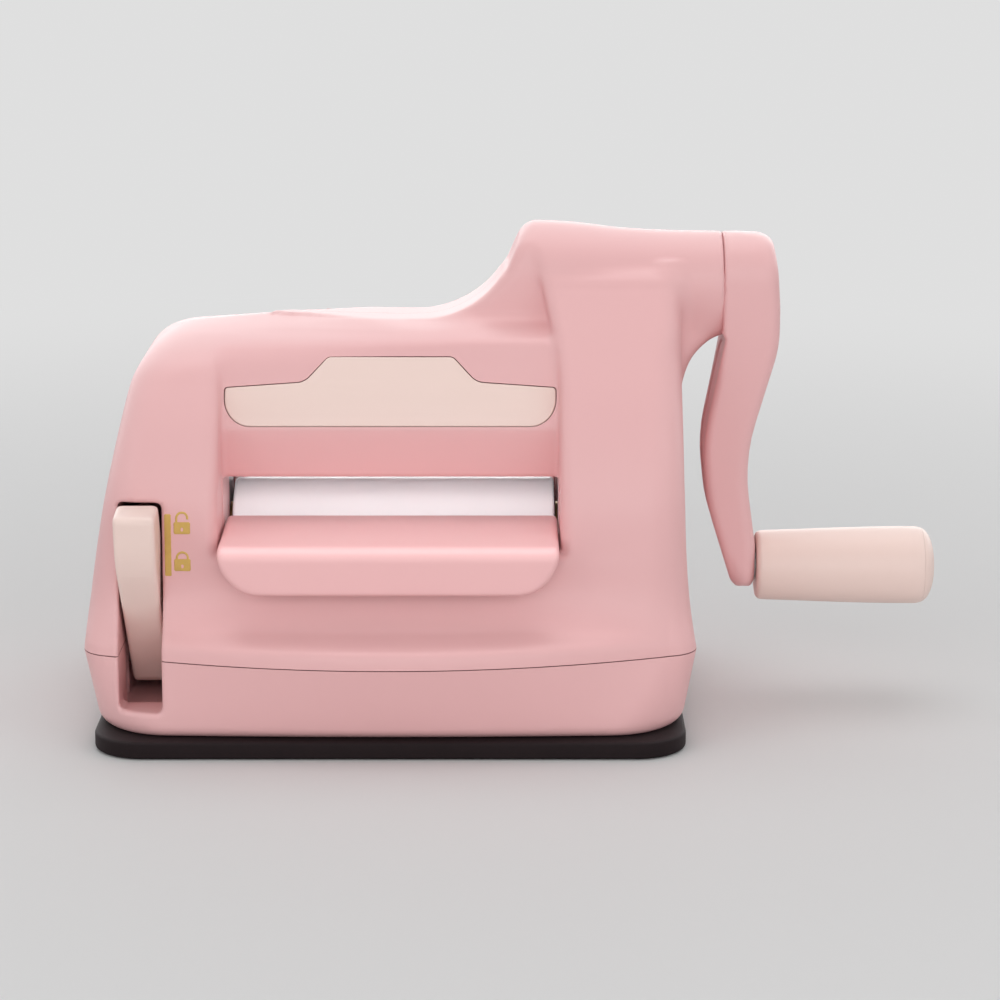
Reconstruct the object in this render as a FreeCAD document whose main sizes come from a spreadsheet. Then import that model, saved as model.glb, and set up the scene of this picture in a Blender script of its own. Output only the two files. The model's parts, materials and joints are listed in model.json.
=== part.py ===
import FreeCAD, Part
import Sketcher
import math
import os
import re

# Hand-cranked die cutting machine: two rollers between steel side plates, a geared crank on the
# right, a moulded shell in three pieces and a suction base worked by a lever on the left.
# X runs along the rollers, -Y is the front, Z is up, and the origin is the middle of the underside.

SIZES = {
    # rollers, shafts and feed opening
    "opening_width": 78.0,
    "roller_radius": 13.4,
    "roller_end_gap": 0.8,
    "roller_chamfer": 0.8,
    "shaft_radius": 4.0,
    "roller_rise": 18.6,
    "tray_drop": 5.4,
    "tray_slope": 1.0,
    "tray_roller_gap": 6.6,
    "tray_thickness": 2.6,
    "tray_side_gap": 0.3,
    "lip_reach": 9.0,
    "lip_height": 11.6,
    "lip_thickness": 3.5,
    "lip_corner": 10.5,
    # gear train
    "gear_module": 1.25,
    "sync_teeth": 26,
    "drive_teeth": 36,
    "pinion_teeth": 11,
    "sync_width": 6.0,
    "drive_width": 7.0,
    "gear_gap": 1.0,
    "backlash": 0.2,
    # side plates and what joins them
    "plate_thickness": 2.5,
    "plate_gap": 0.4,
    "plate_depth": 44.0,
    "foot_length": 9.0,
    "rod_radius": 2.5,
    "rod_rise": 10.5,
    "rod_back": 19.0,
    "top_rod_back": 14.5,
    "top_rod_rise": 9.5,
    "nut_thickness": 2.0,
    "bush_radius": 6.0,
    "bush_flange": 7.5,
    "running_gap": 0.05,
    "ring_radius": 6.0,
    "ring_width": 1.0,
    # base and suction pad
    "pad_thickness": 4.0,
    "pad_inset": 2.5,
    "pad_depth": 105.0,
    "pad_corner": 12.0,
    "base_height": 18.0,
    "tower_room": 9.15,
    "base_depth": 113.0,
    "base_corner": 15.0,
    "base_draft": 2.6,
    "front_draft": 5.8,
    "front_bow": 9.5,
    "floor_bow": 2.0,
    "wall": 2.4,
    "cup_radius": 18.5,
    "cup_offset": 8.8,
    "cup_thickness": 1.6,
    "cup_gap": 0.6,
    # upper shell
    "rim_height": 3.2,
    "skirt_depth": 88.0,
    "column_depth": 82.0,
    "shoulder_depth": 50.0,
    "neck_depth": 28.0,
    "left_lean": 11.2,
    "right_lean": 3.4,
    "top_room": 7.4,
    "crown_room": 2.6,
    "neck_radius": 24.0,
    "neck_room": 17.4,
    "neck_lean": 8.7,
    "crown_radius": 3.4,
    "shoulder_radius": 15.0,
    "sleeve_radius": 11.2,
    "sleeve_length": 9.9,
    "web_thickness": 16.0,
    "recess_depth": 57.0,
    "recess_undercut": 3.5,
    "recess_top_depth": 42.0,
    "field_height": 18.1,
    "panel_height": 15.1,
    "panel_tab": 5.5,
    "panel_drop": 1.2,
    "panel_tab_width": 28.8,
    "panel_thickness": 1.6,
    "panel_gap": 0.15,
    "strip_height": 12.1,
    # crank
    "hub_gap": 0.4,
    "hub_length": 13.5,
    "crank_radius": 69.9,
    "arm_thickness": 15.0,
    "arm_bow": 4.45,
    "arm_foot": 5.5,
    "grip_length": 43.5,
    "grip_radius": 9.05,
    "grip_neck": 8.1,
    "grip_bore": 3.0,
    # suction lever
    "lever_width": 9.4,
    "lever_root_width": 8.6,
    "lever_inset": 13.85,
    "lever_gap": 0.45,
    "lever_setback": 9.0,
    "lever_axis_offset": 16.0,
    "lever_axis_rise": 9.8,
    "lever_rise": 40.9,
    "well_drop": 6.6,
    "lever_shaft_radius": 3.0,
    "cam_radius": 5.8,
    "cam_throw": 1.8,
    "cam_width": 7.0,
    "yoke_bar": 2.4,
    "stem_radius": 3.0,
    "lever_swing": 36.0,
    # fasteners
    "screw_radius": 1.5,
    "screw_head": 3.0,
    "screw_head_height": 2.0,
    "base_screw_bite": 9.0,
    "shell_screw_length": 15.0,
    "boss_radius": 4.5,
}

doc = FreeCAD.newDocument("DieCutter")
sheet = doc.addObject("Spreadsheet::Sheet", "Dims")
for row, (alias, size) in enumerate(SIZES.items(), 1):
    sheet.set(f"A{row}", alias.replace("_", " "))
    sheet.set(f"B{row}", str(size))
    sheet.setAlias(f"B{row}", alias)
doc.recompute()

V = FreeCAD.Vector
NODES = []

# Heights and places that several pieces share, as expressions on the sheet
SEAM = "(pad_thickness + base_height)"
LOWER = f"({SEAM} + roller_rise)"
UPPER = f"({LOWER} + gear_module * sync_teeth)"
CRANK = f"({UPPER} + gear_module * (drive_teeth + pinion_teeth) / 2)"
TRAY = f"({LOWER} + roller_radius - tray_drop)"
SLOT_TOP = f"({UPPER} - roller_radius + 0.1)"
BODY_TOP = f"({UPPER} + roller_radius + top_room)"
CROWN = f"({CRANK} + sleeve_radius + crown_room)"
PLATE = "(opening_width / 2 + plate_gap)"
PLATE_OUT = f"({PLATE} + plate_thickness)"
ROLLER_END = "(opening_width / 2 - roller_end_gap)"
FLOOR = "(pad_thickness + wall)"
SYNC_X = f"({PLATE_OUT} + nut_thickness + 0.3)"
DRIVE_X = f"({SYNC_X} + sync_width + gear_gap)"
DRIVE_END = f"({DRIVE_X} + drive_width)"
TOWER_X = f"({DRIVE_END} + tower_room)"
HALF = f"({TOWER_X} + right_lean)"
NECK_X = f"({PLATE} - neck_room)"
SLEEVE_X = f"({TOWER_X} + sleeve_length)"
HUB_X = f"({SLEEVE_X} + hub_gap)"
HUB_END = f"({HUB_X} + hub_length)"
GRIP_X = f"({HUB_END} - 4.7)"
GRIP_Z = f"({CRANK} - crank_radius)"
LEVER_X = f"({HALF} - lever_inset)"
LEVER_Y = "(-lever_axis_offset)"
LEVER_Z = f"({FLOOR} + lever_axis_rise)"
PLUNGER_Y = f"({LEVER_Y} + cam_throw * cos(lever_swing * 0.5deg))"
CUP_Y = f"({PLUNGER_Y} - cup_offset)"
CAM_DIP = "(cam_throw * sin(lever_swing * 0.5deg))"
WELL_LOW = f"({LEVER_X} + lever_width / 2 + lever_gap)"
WELL_HIGH = f"({LEVER_X} - lever_width / 2 - lever_gap)"
WELL_TOP = f"({LEVER_Z} + lever_rise)"


def on_sheet(text):
    """The expression with each size named on the sheet."""
    return re.sub(r"[a-z_]+", lambda m: "Dims." + m[0] if m[0] in SIZES else m[0], text)


def num(text):
    """The number, in millimetres, that an expression on the sheet gives now."""
    found = doc.Dims.evalExpression(on_sheet(text))
    return float(getattr(found, "Value", found))


def keep(piece, label):
    """Names a finished sub-part, so that it is checked and written."""
    piece.Label = label
    NODES.append(piece)
    return piece


def place(piece, x="0", y="0", z="0", turn=None):
    """Binds a piece's position to the sheet, after an optional turn about its origin."""
    if turn:
        piece.Placement = FreeCAD.Placement(V(), FreeCAD.Rotation(*turn))
    for axis, text in zip("xyz", (x, y, z)):
        piece.setExpression(f"Placement.Base.{axis}", on_sheet(text))


def bound_sketch(body, plane, points, circles=()):
    """A closed polygon sketch whose corners, and round holes, are bound to the sheet."""
    sketch = body.newObject("Sketcher::SketchObject", body.Name + "Sketch")
    sketch.AttachmentSupport = [(next(f for f in body.Origin.OriginFeatures if f.Role == plane), "")]
    sketch.MapMode = "FlatFace"
    corners = [(num(a), num(b)) for a, b in points]
    count = len(corners)
    for here, there in zip(corners, corners[1:] + corners[:1]):
        sketch.addGeometry(Part.LineSegment(V(*here, 0), V(*there, 0)), False)
    for i in range(count):
        sketch.addConstraint(Sketcher.Constraint("Coincident", i, 2, (i + 1) % count, 1))
    spots = [(i, 1, points[i]) for i in range(count)]
    for centre_a, centre_b, radius in circles:
        centre = V(num(centre_a), num(centre_b), 0)
        hole = sketch.addGeometry(Part.Circle(centre, V(0, 0, 1), num(radius)), False)
        tie = sketch.addConstraint(Sketcher.Constraint("Radius", hole, num(radius)))
        sketch.setExpression(f"Constraints[{tie}]", on_sheet(radius))
        spots.append((hole, 3, (centre_a, centre_b)))
    for edge, end, texts in spots:
        for kind, text, axis in zip(("DistanceX", "DistanceY"), texts, (-2, -1)):
            if text == "0":
                sketch.addConstraint(Sketcher.Constraint("PointOnObject", edge, end, axis))
                continue
            tie = sketch.addConstraint(Sketcher.Constraint(kind, -1, 1, edge, end, num(text)))
            sketch.setExpression(f"Constraints[{tie}]", on_sheet(text))
    return sketch


def turned(label, profile, x="0", y="0", z="0", turn=None):
    """A lathe piece about its own X axis, from (along, radius) corners."""
    body = doc.addObject("PartDesign::Body", "Body_" + label)
    sketch = bound_sketch(body, "XY_Plane", profile)
    revolution = body.newObject("PartDesign::Revolution", "Turn_" + label)
    revolution.Profile = sketch
    revolution.ReferenceAxis = (sketch, ["H_Axis"])
    revolution.Angle = 360
    place(body, x, y, z, turn)
    return keep(body, label)


def rod(radius, start, end):
    """Corners of a plain round bar between two places along its axis."""
    return [(start, "0"), (start, radius), (end, radius), (end, "0")]


def tube(inner, outer, start, end):
    """Corners of a plain sleeve between two places along its axis."""
    return [(start, inner), (start, outer), (end, outer), (end, inner)]


def padded(label, plane, points, length, circles=(), x="0", y="0", z="0"):
    """A flat piece: a sketched outline padded to a thickness."""
    body = doc.addObject("PartDesign::Body", "Body_" + label)
    pad = body.newObject("PartDesign::Pad", "Pad_" + label)
    pad.Profile = bound_sketch(body, plane, points, circles)
    pad.setExpression("Length", on_sheet(length))
    place(body, x, y, z)
    return keep(body, label)


def solid(label, shape):
    """A sub-part whose shape is worked out in this script from the sheet's sizes."""
    feature = doc.addObject("Part::Feature", "Solid_" + label)
    feature.Shape = shape.removeSplitter()
    return keep(feature, label)


def block(x, y, z):
    """A box between (low, high) pairs along each axis."""
    return Part.makeBox(x[1] - x[0], y[1] - y[0], z[1] - z[0], V(x[0], y[0], z[0]))


def bar(radius, x, y, z, axis=V(1, 0, 0)):
    """A round bar from a start point, with (start, end) along one axis."""
    span = [x, y, z]
    at = [s[0] if isinstance(s, tuple) else s for s in span]
    length = next(s[1] - s[0] for s in span if isinstance(s, tuple))
    return Part.makeCylinder(radius, length, V(*at), axis)


def rounded(corners):
    """A closed flat wire of lines and tangent arcs through (a, b, radius) corners, as (a, b) points."""
    edges, count, ends = [], len(corners), []
    for i, (a, b, radius) in enumerate(corners):
        here = V(a, b, 0)
        to_last = V(*corners[i - 1][:2], 0) - here
        to_next = V(*corners[(i + 1) % count][:2], 0) - here
        turn = to_last.getAngle(to_next)
        if radius <= 0 or turn > math.pi - 1e-3:
            ends.append((here, here))
            continue
        back = radius / math.tan(turn / 2)
        start = here + V(to_last).normalize() * back
        end = here + V(to_next).normalize() * back
        middle = V(to_last).normalize() + V(to_next).normalize()
        top = here + middle.normalize() * (radius / math.sin(turn / 2) - radius)
        edges.append((i, Part.Arc(start, top, end).toShape()))
        ends.append((start, end))
    for i in range(count):
        start, end = ends[i][1], ends[(i + 1) % count][0]
        if start.distanceToPoint(end) > 1e-6:
            edges.append((i + 0.5, Part.LineSegment(start, end).toShape()))
    return Part.Wire([edge for _, edge in sorted(edges, key=lambda e: e[0])])


def pushed(corners, low, high):
    """A rounded outline of (a, b, radius) corners pushed up from low to high."""
    shape = Part.Face(rounded(corners)).extrude(V(0, 0, high - low))
    shape.translate(V(0, 0, low))
    return shape


def along_x(corners, low, high):
    """(y, z) corners pushed along X."""
    shape = pushed(corners, low, high)
    shape.rotate(V(), V(1, 1, 1), 120)
    return shape


def along_y(corners, low, high):
    """(x, z) corners pushed along Y."""
    shape = pushed(corners, -high, -low)
    shape.rotate(V(), V(1, 0, 0), 90)
    return shape


def mirrored(shape):
    """The same shape at the rear of the machine."""
    return shape.mirror(V(), V(0, 1, 0))


# Outer form of the upper shell

SEAM_Z = num(SEAM)
HALF_WIDTH = num(HALF)
HALF_OPENING = num("opening_width / 2")
WALL = num("wall")


def section(z, left, right, half_depth, bow, corner):
    """A level outline with rounded corners and slightly bowed front and rear."""
    side = half_depth - bow
    middle = (left + right) / 2
    diagonal = corner * (1 - math.sqrt(0.5))
    edges = []
    for face in (-1, 1):
        near, far = (left, right) if face < 0 else (right, left)
        inward = 1 if near < far else -1
        start = V(near + inward * corner, face * side, z)
        end = V(far - inward * corner, face * side, z)
        bulge = V(middle, face * half_depth, z)
        edges.append(Part.Arc(start, bulge, end).toShape())
        turn_end = V(far, face * (side - corner), z)
        turn_middle = V(far - inward * diagonal, face * (side - diagonal), z)
        edges.append(Part.Arc(end, turn_middle, turn_end).toShape())
        edges.append(Part.LineSegment(turn_end, V(far, -face * (side - corner), z)).toShape())
        next_start = V(far - inward * corner, -face * side, z)
        next_middle = V(far - inward * diagonal, -face * (side - diagonal), z)
        edges.append(Part.Arc(V(far, -face * (side - corner), z), next_middle, next_start).toShape())
    return Part.Wire(Part.__sortEdges__(edges))


def left_edge(z):
    """Where the left side stands at a height: it leans in more and more."""
    share = max(0.0, (z - SEAM_Z) / (num(BODY_TOP) - 10.5 - SEAM_Z))
    return -HALF_WIDTH + num("left_lean") * share ** 1.3


def right_edge(z):
    """Where the right side stands at a height: it leans in less and less."""
    return HALF_WIDTH - num("right_lean") * (1 - math.exp(-(z - SEAM_Z) / 18))


def envelope(inset):
    """The upper shell before its top is cut to shape, moved inwards by a wall."""
    rim = SEAM_Z + num("rim_height")
    base, skirt = num("base_depth / 2"), num("skirt_depth / 2")
    column, shoulder = num("column_depth / 2"), num("shoulder_depth / 2")
    neck, corner, bow = num("neck_depth / 2"), num("base_corner"), num("front_bow")
    levels = [
        (SEAM_Z, base, bow, corner),
        (rim, base - 0.5, bow, corner),
        (rim + 3.8, base * 0.37 + skirt * 0.63, bow * 0.45, corner - 1.5),
        (rim + 9.3, skirt, bow * 0.2, corner - 3),
        (num(LOWER) + 3.4, column + 1.3, bow * 0.1, corner - 5),
        (num(UPPER) - 15.1, column - 0.5, bow * 0.05, corner - 6.5),
        (num(UPPER) + 1.9, (column + shoulder) / 2, bow * 0.04, corner - 7),
        (num(BODY_TOP) - 1.9, shoulder - 1, bow * 0.04, corner - 7.5),
        (num(CRANK) + 3.5, neck + 0.3, bow * 0.03, corner - 8.5),
        (num(CROWN) + 1.5, neck - 3, bow * 0.03, corner - 9.5),
    ]
    wires = []
    for z, half_depth, bulge, radius in levels:
        sides = left_edge(z) + inset, right_edge(z) - inset
        wires.append(section(z, *sides, half_depth - 1.15 * inset, bulge, radius - 0.8 * inset))
    foot = Part.makeLoft(wires[:2], True, True)
    return foot.fuse(Part.makeLoft(wires[1:], True, False))


def front_outline(inset):
    """The machine's outline from the front, as (x, z) corners, moved inwards by a wall."""
    top, crown = num(BODY_TOP) - inset, num(CROWN) - inset
    neck = num(NECK_X) + inset
    end = num(CRANK) + num("sleeve_radius") - inset
    return [
        (-HALF_WIDTH - 5, SEAM_Z - 1, 0),
        (left_edge(SEAM_Z + 31) - 0.3, SEAM_Z + 31, 0),
        (left_edge(top - 3) - 0.2, top - 3, num("shoulder_radius") - inset),
        (-15, top - 0.1, 60),
        (neck, top, num("neck_radius") + inset),
        (neck + num("neck_lean"), crown + 0.3, num("crown_radius") - inset / 2),
        (neck + 30, end + 0.75, 40),
        (num(SLEEVE_X) + 1, end, 0),
        (num(SLEEVE_X) + 1, SEAM_Z - 1, 0),
    ]


def sleeve():
    """The round end that carries the crank, with the flared web under it."""
    x, end, radius, axis = num(TOWER_X), num(SLEEVE_X), num("sleeve_radius"), num(CRANK)
    cone = Part.makeCone(radius + 0.6, radius, end - x + 8, V(x - 8, 0, axis), V(1, 0, 0))
    flare = Part.Face(rounded([
        (x - 4, 0, 0), (end + 8, 0, 0), (end + 8, radius, 0), (x, radius, 16),
        (x, 2.6 * radius, 0), (x - 4, 2.6 * radius, 0)]))
    flare = flare.revolve(V(), V(1, 0, 0), 360)
    flare.translate(V(0, 0, axis))
    half = num("web_thickness / 2")
    return cone.fuse(flare.common(block((x - 5, end), (-half, half), (0, axis))))


def recess(grow):
    """The front opening with the leaning field above it, grown by a wall to keep material around it."""
    low, slot = num(TRAY) - num("tray_thickness") - grow, num(SLOT_TOP)
    deep, under = num("recess_depth / 2"), num("recess_undercut")
    top, ridge = num(BODY_TOP), num("recess_top_depth / 2")
    knee = slot + num("strip_height")
    bend = knee + num("field_height")
    inner = -5 if grow == 0 else -deep + under + grow
    profile = [
        (-90, low, 0), (-90, 140, 0), (-11.5 + grow, 140, 0), (-11.5 + grow, top + 0.6 - grow, 6),
        (-ridge + grow, bend - 0.5 * grow, 5), (-deep + grow, knee - 0.2 * grow, 1),
        (-deep + under + grow, slot, 0)]
    profile += [(inner, slot, 0), (inner, low, 0)] if grow == 0 else [(inner, low, 0)]
    left, right = -HALF_OPENING - grow, HALF_OPENING + grow
    neck = num(NECK_X) + num("neck_lean") + 0.75 + grow
    outline = [(left, 0, 0), (right, 0, 0), (right, num(UPPER) + 13, 60), (neck, num(CROWN), 0),
               (neck, 140, 0), (left, 140, 0)]
    return along_x(profile, -100, 100).common(along_y(outline, -100, 0))


def top_round(grow):
    """What is taken off the top front edge of the left column."""
    top = num(BODY_TOP)
    profile = [
        (-90, top - 10.4 - grow, 0), (-90, 140, 0), (-9 + grow, 140, 0), (-9 + grow, top + 0.5 - grow, 4),
        (-20 + grow, top - 2.5 - grow, 9), (-27.4 + grow, top - 10.4 - grow, 0)]
    return along_x(profile, -100, -HALF_OPENING)


def crown_round(grow):
    """What is taken off the top front edge of the tower."""
    axis, crown = num(CRANK), num(CROWN)
    profile = [
        (-90, axis + 2, 0), (-90, 140, 0), (-1, 140, 0), (-1, crown + 0.4 - grow, 0),
        (-11.8 + grow, crown + 0.4 - grow, 9.5), (-15 + grow, axis + 2, 0)]
    return along_x(profile, 0, num(SLEEVE_X) + 1)


def field_panel(gap):
    """The pale panel let into the leaning field, grown by a gap to make its pocket."""
    deep, thick = num("recess_depth / 2"), num("panel_thickness")
    low = num(SLOT_TOP) + num("strip_height") + 0.6
    shoulder, high = low + num("panel_height - panel_tab"), low + num("panel_height")
    ridge = num("recess_top_depth / 2")
    lean = (deep - ridge) / num("field_height")
    knee = low - 0.6
    face = [(-deep + lean * (z - knee), z) for z in (low - 5, high + 5)]
    slab = along_x([(*face[0], 0), (*face[1], 0), (face[1][0] + thick, face[1][1], 0),
                    (face[0][0] + thick, face[0][1], 0)], -60, 60)
    if gap > 0:
        slab = along_x([(face[0][0] - 3, face[0][1], 0), (face[1][0] - 3, face[1][1], 0),
                        (face[1][0] + thick, face[1][1], 0), (face[0][0] + thick, face[0][1], 0)], -60, 60)
    half, tab = HALF_OPENING - 0.8 + gap, num("panel_tab_width / 2") + gap
    end = shoulder - num("panel_drop")
    outline = [(-half, low - gap, 6), (half, low - gap, 6), (half, end + gap, 1),
               (tab + 5.4, shoulder + gap, 4), (tab, high + gap, 2), (-tab, high + gap, 2),
               (-tab - 5.4, shoulder + gap, 4), (-half, end + gap, 1)]
    return slab.common(along_y(outline, -60, 0))


def lever_well(grow):
    """The slot that the suction lever stands in, grown by a wall to make its sides."""
    across = (-num(WELL_LOW) - 3 * grow, -num(WELL_HIGH) + grow)
    sill = num(LEVER_Z) - num("well_drop") - 3 * grow
    return block(across, (-70, num(LEVER_Y) - 11), (sill, num(WELL_TOP) + grow))


# Upper shell, split down the middle into a front and a rear moulding

BOSS_X, BOSS_Y = HALF_WIDTH - 12.75, num("skirt_depth / 2") - num("boss_radius") - WALL + 0.4
BASE_SCREWS = [(-num(WELL_HIGH) + 7, -BOSS_Y), (BOSS_X, -BOSS_Y), (-BOSS_X, BOSS_Y), (BOSS_X, BOSS_Y)]
SHELL_SCREWS = [(-num(PLATE_OUT) - 8.6, num(UPPER) + 8), (num(TOWER_X) - 4.2, num(UPPER) - 15)]
BOSS = num("boss_radius")
SCREW = num("screw_radius")
HEAD = num("screw_head")
UP = V(0, 0, 1)
BACK = V(0, 1, 0)

outer = envelope(0).common(along_y(front_outline(0), -100, 100))
outer = outer.cut([crown_round(0), mirrored(crown_round(0))]).fuse(sleeve())
cavity = envelope(WALL).common(along_y(front_outline(WALL), -100, 100))
kept = [recess(WALL), top_round(WALL), crown_round(WALL)]
kept += [mirrored(cut) for cut in kept] + [lever_well(WALL)]
kept += [bar(BOSS, x, y, (SEAM_Z - 1, SEAM_Z + 14), UP) for x, y in BASE_SCREWS]
kept += [bar(BOSS, x, (-60, 60), z, BACK) for x, z in SHELL_SCREWS]
kept.append(block((num(TOWER_X) - WALL, num(SLEEVE_X)), (-30, 30), (num(CRANK) - 12, num(CRANK) + 20)))
cavity = cavity.cut(kept)

cuts = [recess(0), top_round(0), field_panel(num("panel_gap")), lever_well(0)]
cuts += [mirrored(cut) for cut in cuts[:3]]
cuts += [bar(SCREW, x, y, (SEAM_Z - 1, SEAM_Z + num("base_screw_bite") + 1), UP) for x, y in BASE_SCREWS]
cuts += [bar(SCREW, x, (5 - num("shell_screw_length"), 7), z, BACK) for x, z in SHELL_SCREWS]
cuts += [bar(HEAD + 0.2, x, (6, 60), z, BACK) for x, z in SHELL_SCREWS]
cuts.append(bar(num("bush_radius"), (num(TOWER_X) - 10, num(SLEEVE_X) + 1), 0, num(CRANK)))
shell = outer.cut([cavity] + cuts)
solid("front_housing", shell.common(block((-120, 120), (-90, 0), (0, 150))))
solid("rear_housing", shell.common(block((-120, 120), (0, 90), (0, 150))))
solid("front_panel", field_panel(0))
solid("rear_panel", mirrored(field_panel(0)))


# Lower housing with its bearing posts, and the rubber pad it stands on

LEVER_AT = num(LEVER_Y), num(LEVER_Z)
SILL = num(LEVER_Z) - num("well_drop")
LEVER_BORE = num("lever_shaft_radius + running_gap")
POSTS = [(-num(WELL_LOW) - 3, -num(WELL_LOW) - 0.4), (num("cam_width / 2") + 4, num("cam_width / 2") + 7)]
STEM_AT = num(PLUNGER_Y)
FOOT_SCREWS = [(side * (num(PLATE_OUT) + num("foot_length") - 4), y) for side in (-1, 1) for y in (-13, 13)]


def tub(inset, low):
    """The lower moulding's form, drawn in towards the floor, moved inwards by a wall."""
    half_depth, corner, bow = num("base_depth / 2"), num("base_corner"), num("front_bow")
    wires = []
    flat = num("floor_bow")
    for z, draft, share in ((low, 1.2, 1), (low + 1.5, 0, 1), (SEAM_Z, 0, 0)):
        side = HALF_WIDTH - inset - draft - share * num("base_draft")
        depth = half_depth - inset - draft - share * num("front_draft")
        wires.append(section(z, -side, side, depth, bow + share * (flat - bow), corner - 0.8 * inset))
    return Part.makeLoft(wires, True, True)


floor = num(FLOOR)
hollow = tub(WALL, floor)
well = lever_well(WALL).common(block((-90, 0), (-90, num(LEVER_Y) - 13), (0, 60)))
posts = [block(x, (LEVER_AT[0] - 6, LEVER_AT[0] + 6), (0, SEAM_Z)) for x in POSTS]
bosses = [bar(BOSS, x, y, (0, SEAM_Z), UP) for x, y in BASE_SCREWS]
hollow = hollow.cut([well] + posts + bosses)
holes = [lever_well(0), bar(num("stem_radius") + 0.4, 0, STEM_AT, (0, floor + 1), UP)]
holes.append(block((-num(WELL_LOW), -num(WELL_HIGH)), (18.5 - num("base_depth / 2"), num(LEVER_Y) - 10),
                   (floor, SILL + 1)))
holes += [bar(LEVER_BORE, (x[0] - 1, x[1] + 1), *LEVER_AT) for x in POSTS]
holes += [bar(SCREW, x, y, (0, SEAM_Z + 1), UP) for x, y in BASE_SCREWS]
holes += [bar(HEAD + 0.2, x, y, (0, floor + 3), UP) for x, y in BASE_SCREWS]
holes += [bar(SCREW, x, y, (floor - 2, floor + 1), UP) for x, y in FOOT_SCREWS]
solid("lower_housing", tub(0, num("pad_thickness")).cut([hollow] + holes))

pad_half = HALF_WIDTH - num("pad_inset"), num("pad_depth / 2")
pad_corner = num("pad_corner")
pad = pushed([(sx * pad_half[0], sy * pad_half[1], pad_corner)
              for sx, sy in ((-1, -1), (1, -1), (1, 1), (-1, 1))], 0, num("pad_thickness"))
cup_hole = bar(num("cup_radius + cup_gap"), 0, num(CUP_Y), (-1, 10), UP)
solid("suction_pad", pad.cut(cup_hole))

# Trays that carry the plates in and out

tray_back = num("roller_radius + tray_roller_gap")
tray_front = num("column_depth / 2 + lip_reach")
tray_top, tray_low = num(TRAY), num(TRAY) - num("tray_thickness")
lip_low = tray_top - num("lip_height")
lip_back = tray_front - num("lip_thickness")
tray_half = HALF_OPENING - num("tray_side_gap")
tray_side = [
    (-tray_front, tray_top, 1.5), (-tray_back, tray_top + num("tray_slope"), 0),
    (-tray_back, tray_low, 0), (-lip_back, tray_low, 0.8), (-lip_back, lip_low, 0.8),
    (-tray_front, lip_low, 1.2)]
tray_outline = [(-tray_half, lip_low, num("lip_corner")), (tray_half, lip_low, num("lip_corner")),
                (tray_half, tray_top + 5, 0), (-tray_half, tray_top + 5, 0)]
tray = along_x(tray_side, -60, 60).common(along_y(tray_outline, -80, 0))
solid("front_tray", tray)
solid("rear_tray", mirrored(tray))

# Steel side plates with outward feet, joined by tie rods

ROD_LOW = f"({FLOOR} + rod_rise)"
RODS = [("0", ROD_LOW), ("rod_back", ROD_LOW), ("top_rod_back", f"({UPPER} + top_rod_rise)")]
plate_half = "plate_depth / 2"
plate_base = [(f"-{plate_half}", FLOOR), (plate_half, FLOOR), (plate_half, f"{LOWER} + 14"),
              ("20.5", f"{UPPER} + 10")]
plate_base_back = [("-20.5", f"{UPPER} + 10"), (f"-{plate_half}", f"{LOWER} + 14")]
left_top = [("9", f"{UPPER} + 16"), ("-9", f"{UPPER} + 16")]
right_half = [("12", f"{UPPER} + 14.5"), ("8.6", f"{UPPER} + 18"), ("8.6", f"{CRANK} + 5"),
              ("5", f"{CRANK} + 8.6")]
right_top = right_half + [(f"-{y}", z) for y, z in reversed(right_half)]
bearing_holes = [("0", LOWER, "bush_radius"), ("0", UPPER, "bush_radius")]
rod_holes = [(y, z, "rod_radius") for y, z in RODS]
shaft_hole = [(LEVER_Y, LEVER_Z, "lever_shaft_radius + 0.4")]


def side_plate(label, top, holes, start, foot_start):
    """A flat plate on the YZ plane with a bent foot, joined into one piece."""
    web = padded(label + "_web", "YZ_Plane", plate_base + top + plate_base_back, "plate_thickness", holes,
                 x=start)
    foot_end = f"{foot_start} + foot_length"
    corners = [(foot_start, "-18"), (foot_end, "-18"), (foot_end, "18"), (foot_start, "18")]
    screw_holes = [(f"{foot_start} + {FOOT_HOLES[label]}", y, "screw_radius") for y in ("-13", "13")]
    foot = padded(label + "_foot", "XY_Plane", corners, "plate_thickness", screw_holes, z=FLOOR)
    NODES.remove(web)
    NODES.remove(foot)
    joined = doc.addObject("Part::MultiFuse", "Fuse_" + label)
    joined.Shapes = [web, foot]
    return keep(joined, label)


FOOT_HOLES = {"left_side_plate": "4", "right_side_plate": "foot_length - 4"}
side_plate("left_side_plate", left_top, bearing_holes + rod_holes + shaft_hole, f"-{PLATE_OUT}",
           f"-{PLATE_OUT} - foot_length")
side_plate("right_side_plate", right_top, bearing_holes + rod_holes + [("0", CRANK, "bush_radius")], PLATE,
           PLATE_OUT)
rod_end = f"{PLATE_OUT} + nut_thickness"
rods = [turned("tie_rod", rod("rod_radius", f"-({rod_end})", rod_end), y=y, z=z) for y, z in RODS]


def gather(label, pieces):
    """Several like pieces as one named sub-part."""
    for piece in pieces:
        NODES.remove(piece)
    group = doc.addObject("Part::Compound", "Group_" + label)
    group.Links = pieces
    return keep(group, label)


gather("tie_rods", rods)
hexagon = []
for corner in range(30, 390, 60):
    across, up = math.cos(math.radians(corner)), math.sin(math.radians(corner))
    places = [f"{part:.4f} * (rod_radius + 2)" if abs(part) > 1e-3 else "0" for part in (across, up)]
    hexagon.append(tuple(places))
nuts = []
for y, z in RODS:
    for start in (f"-{PLATE_OUT} - nut_thickness", PLATE_OUT):
        nuts.append(padded("tie_nut", "YZ_Plane", hexagon, "nut_thickness", [("0", "0", "rod_radius")],
                           x=start, y=y, z=z))
gather("tie_rod_nuts", nuts)

# Rollers, their shafts, bushes and rings

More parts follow.
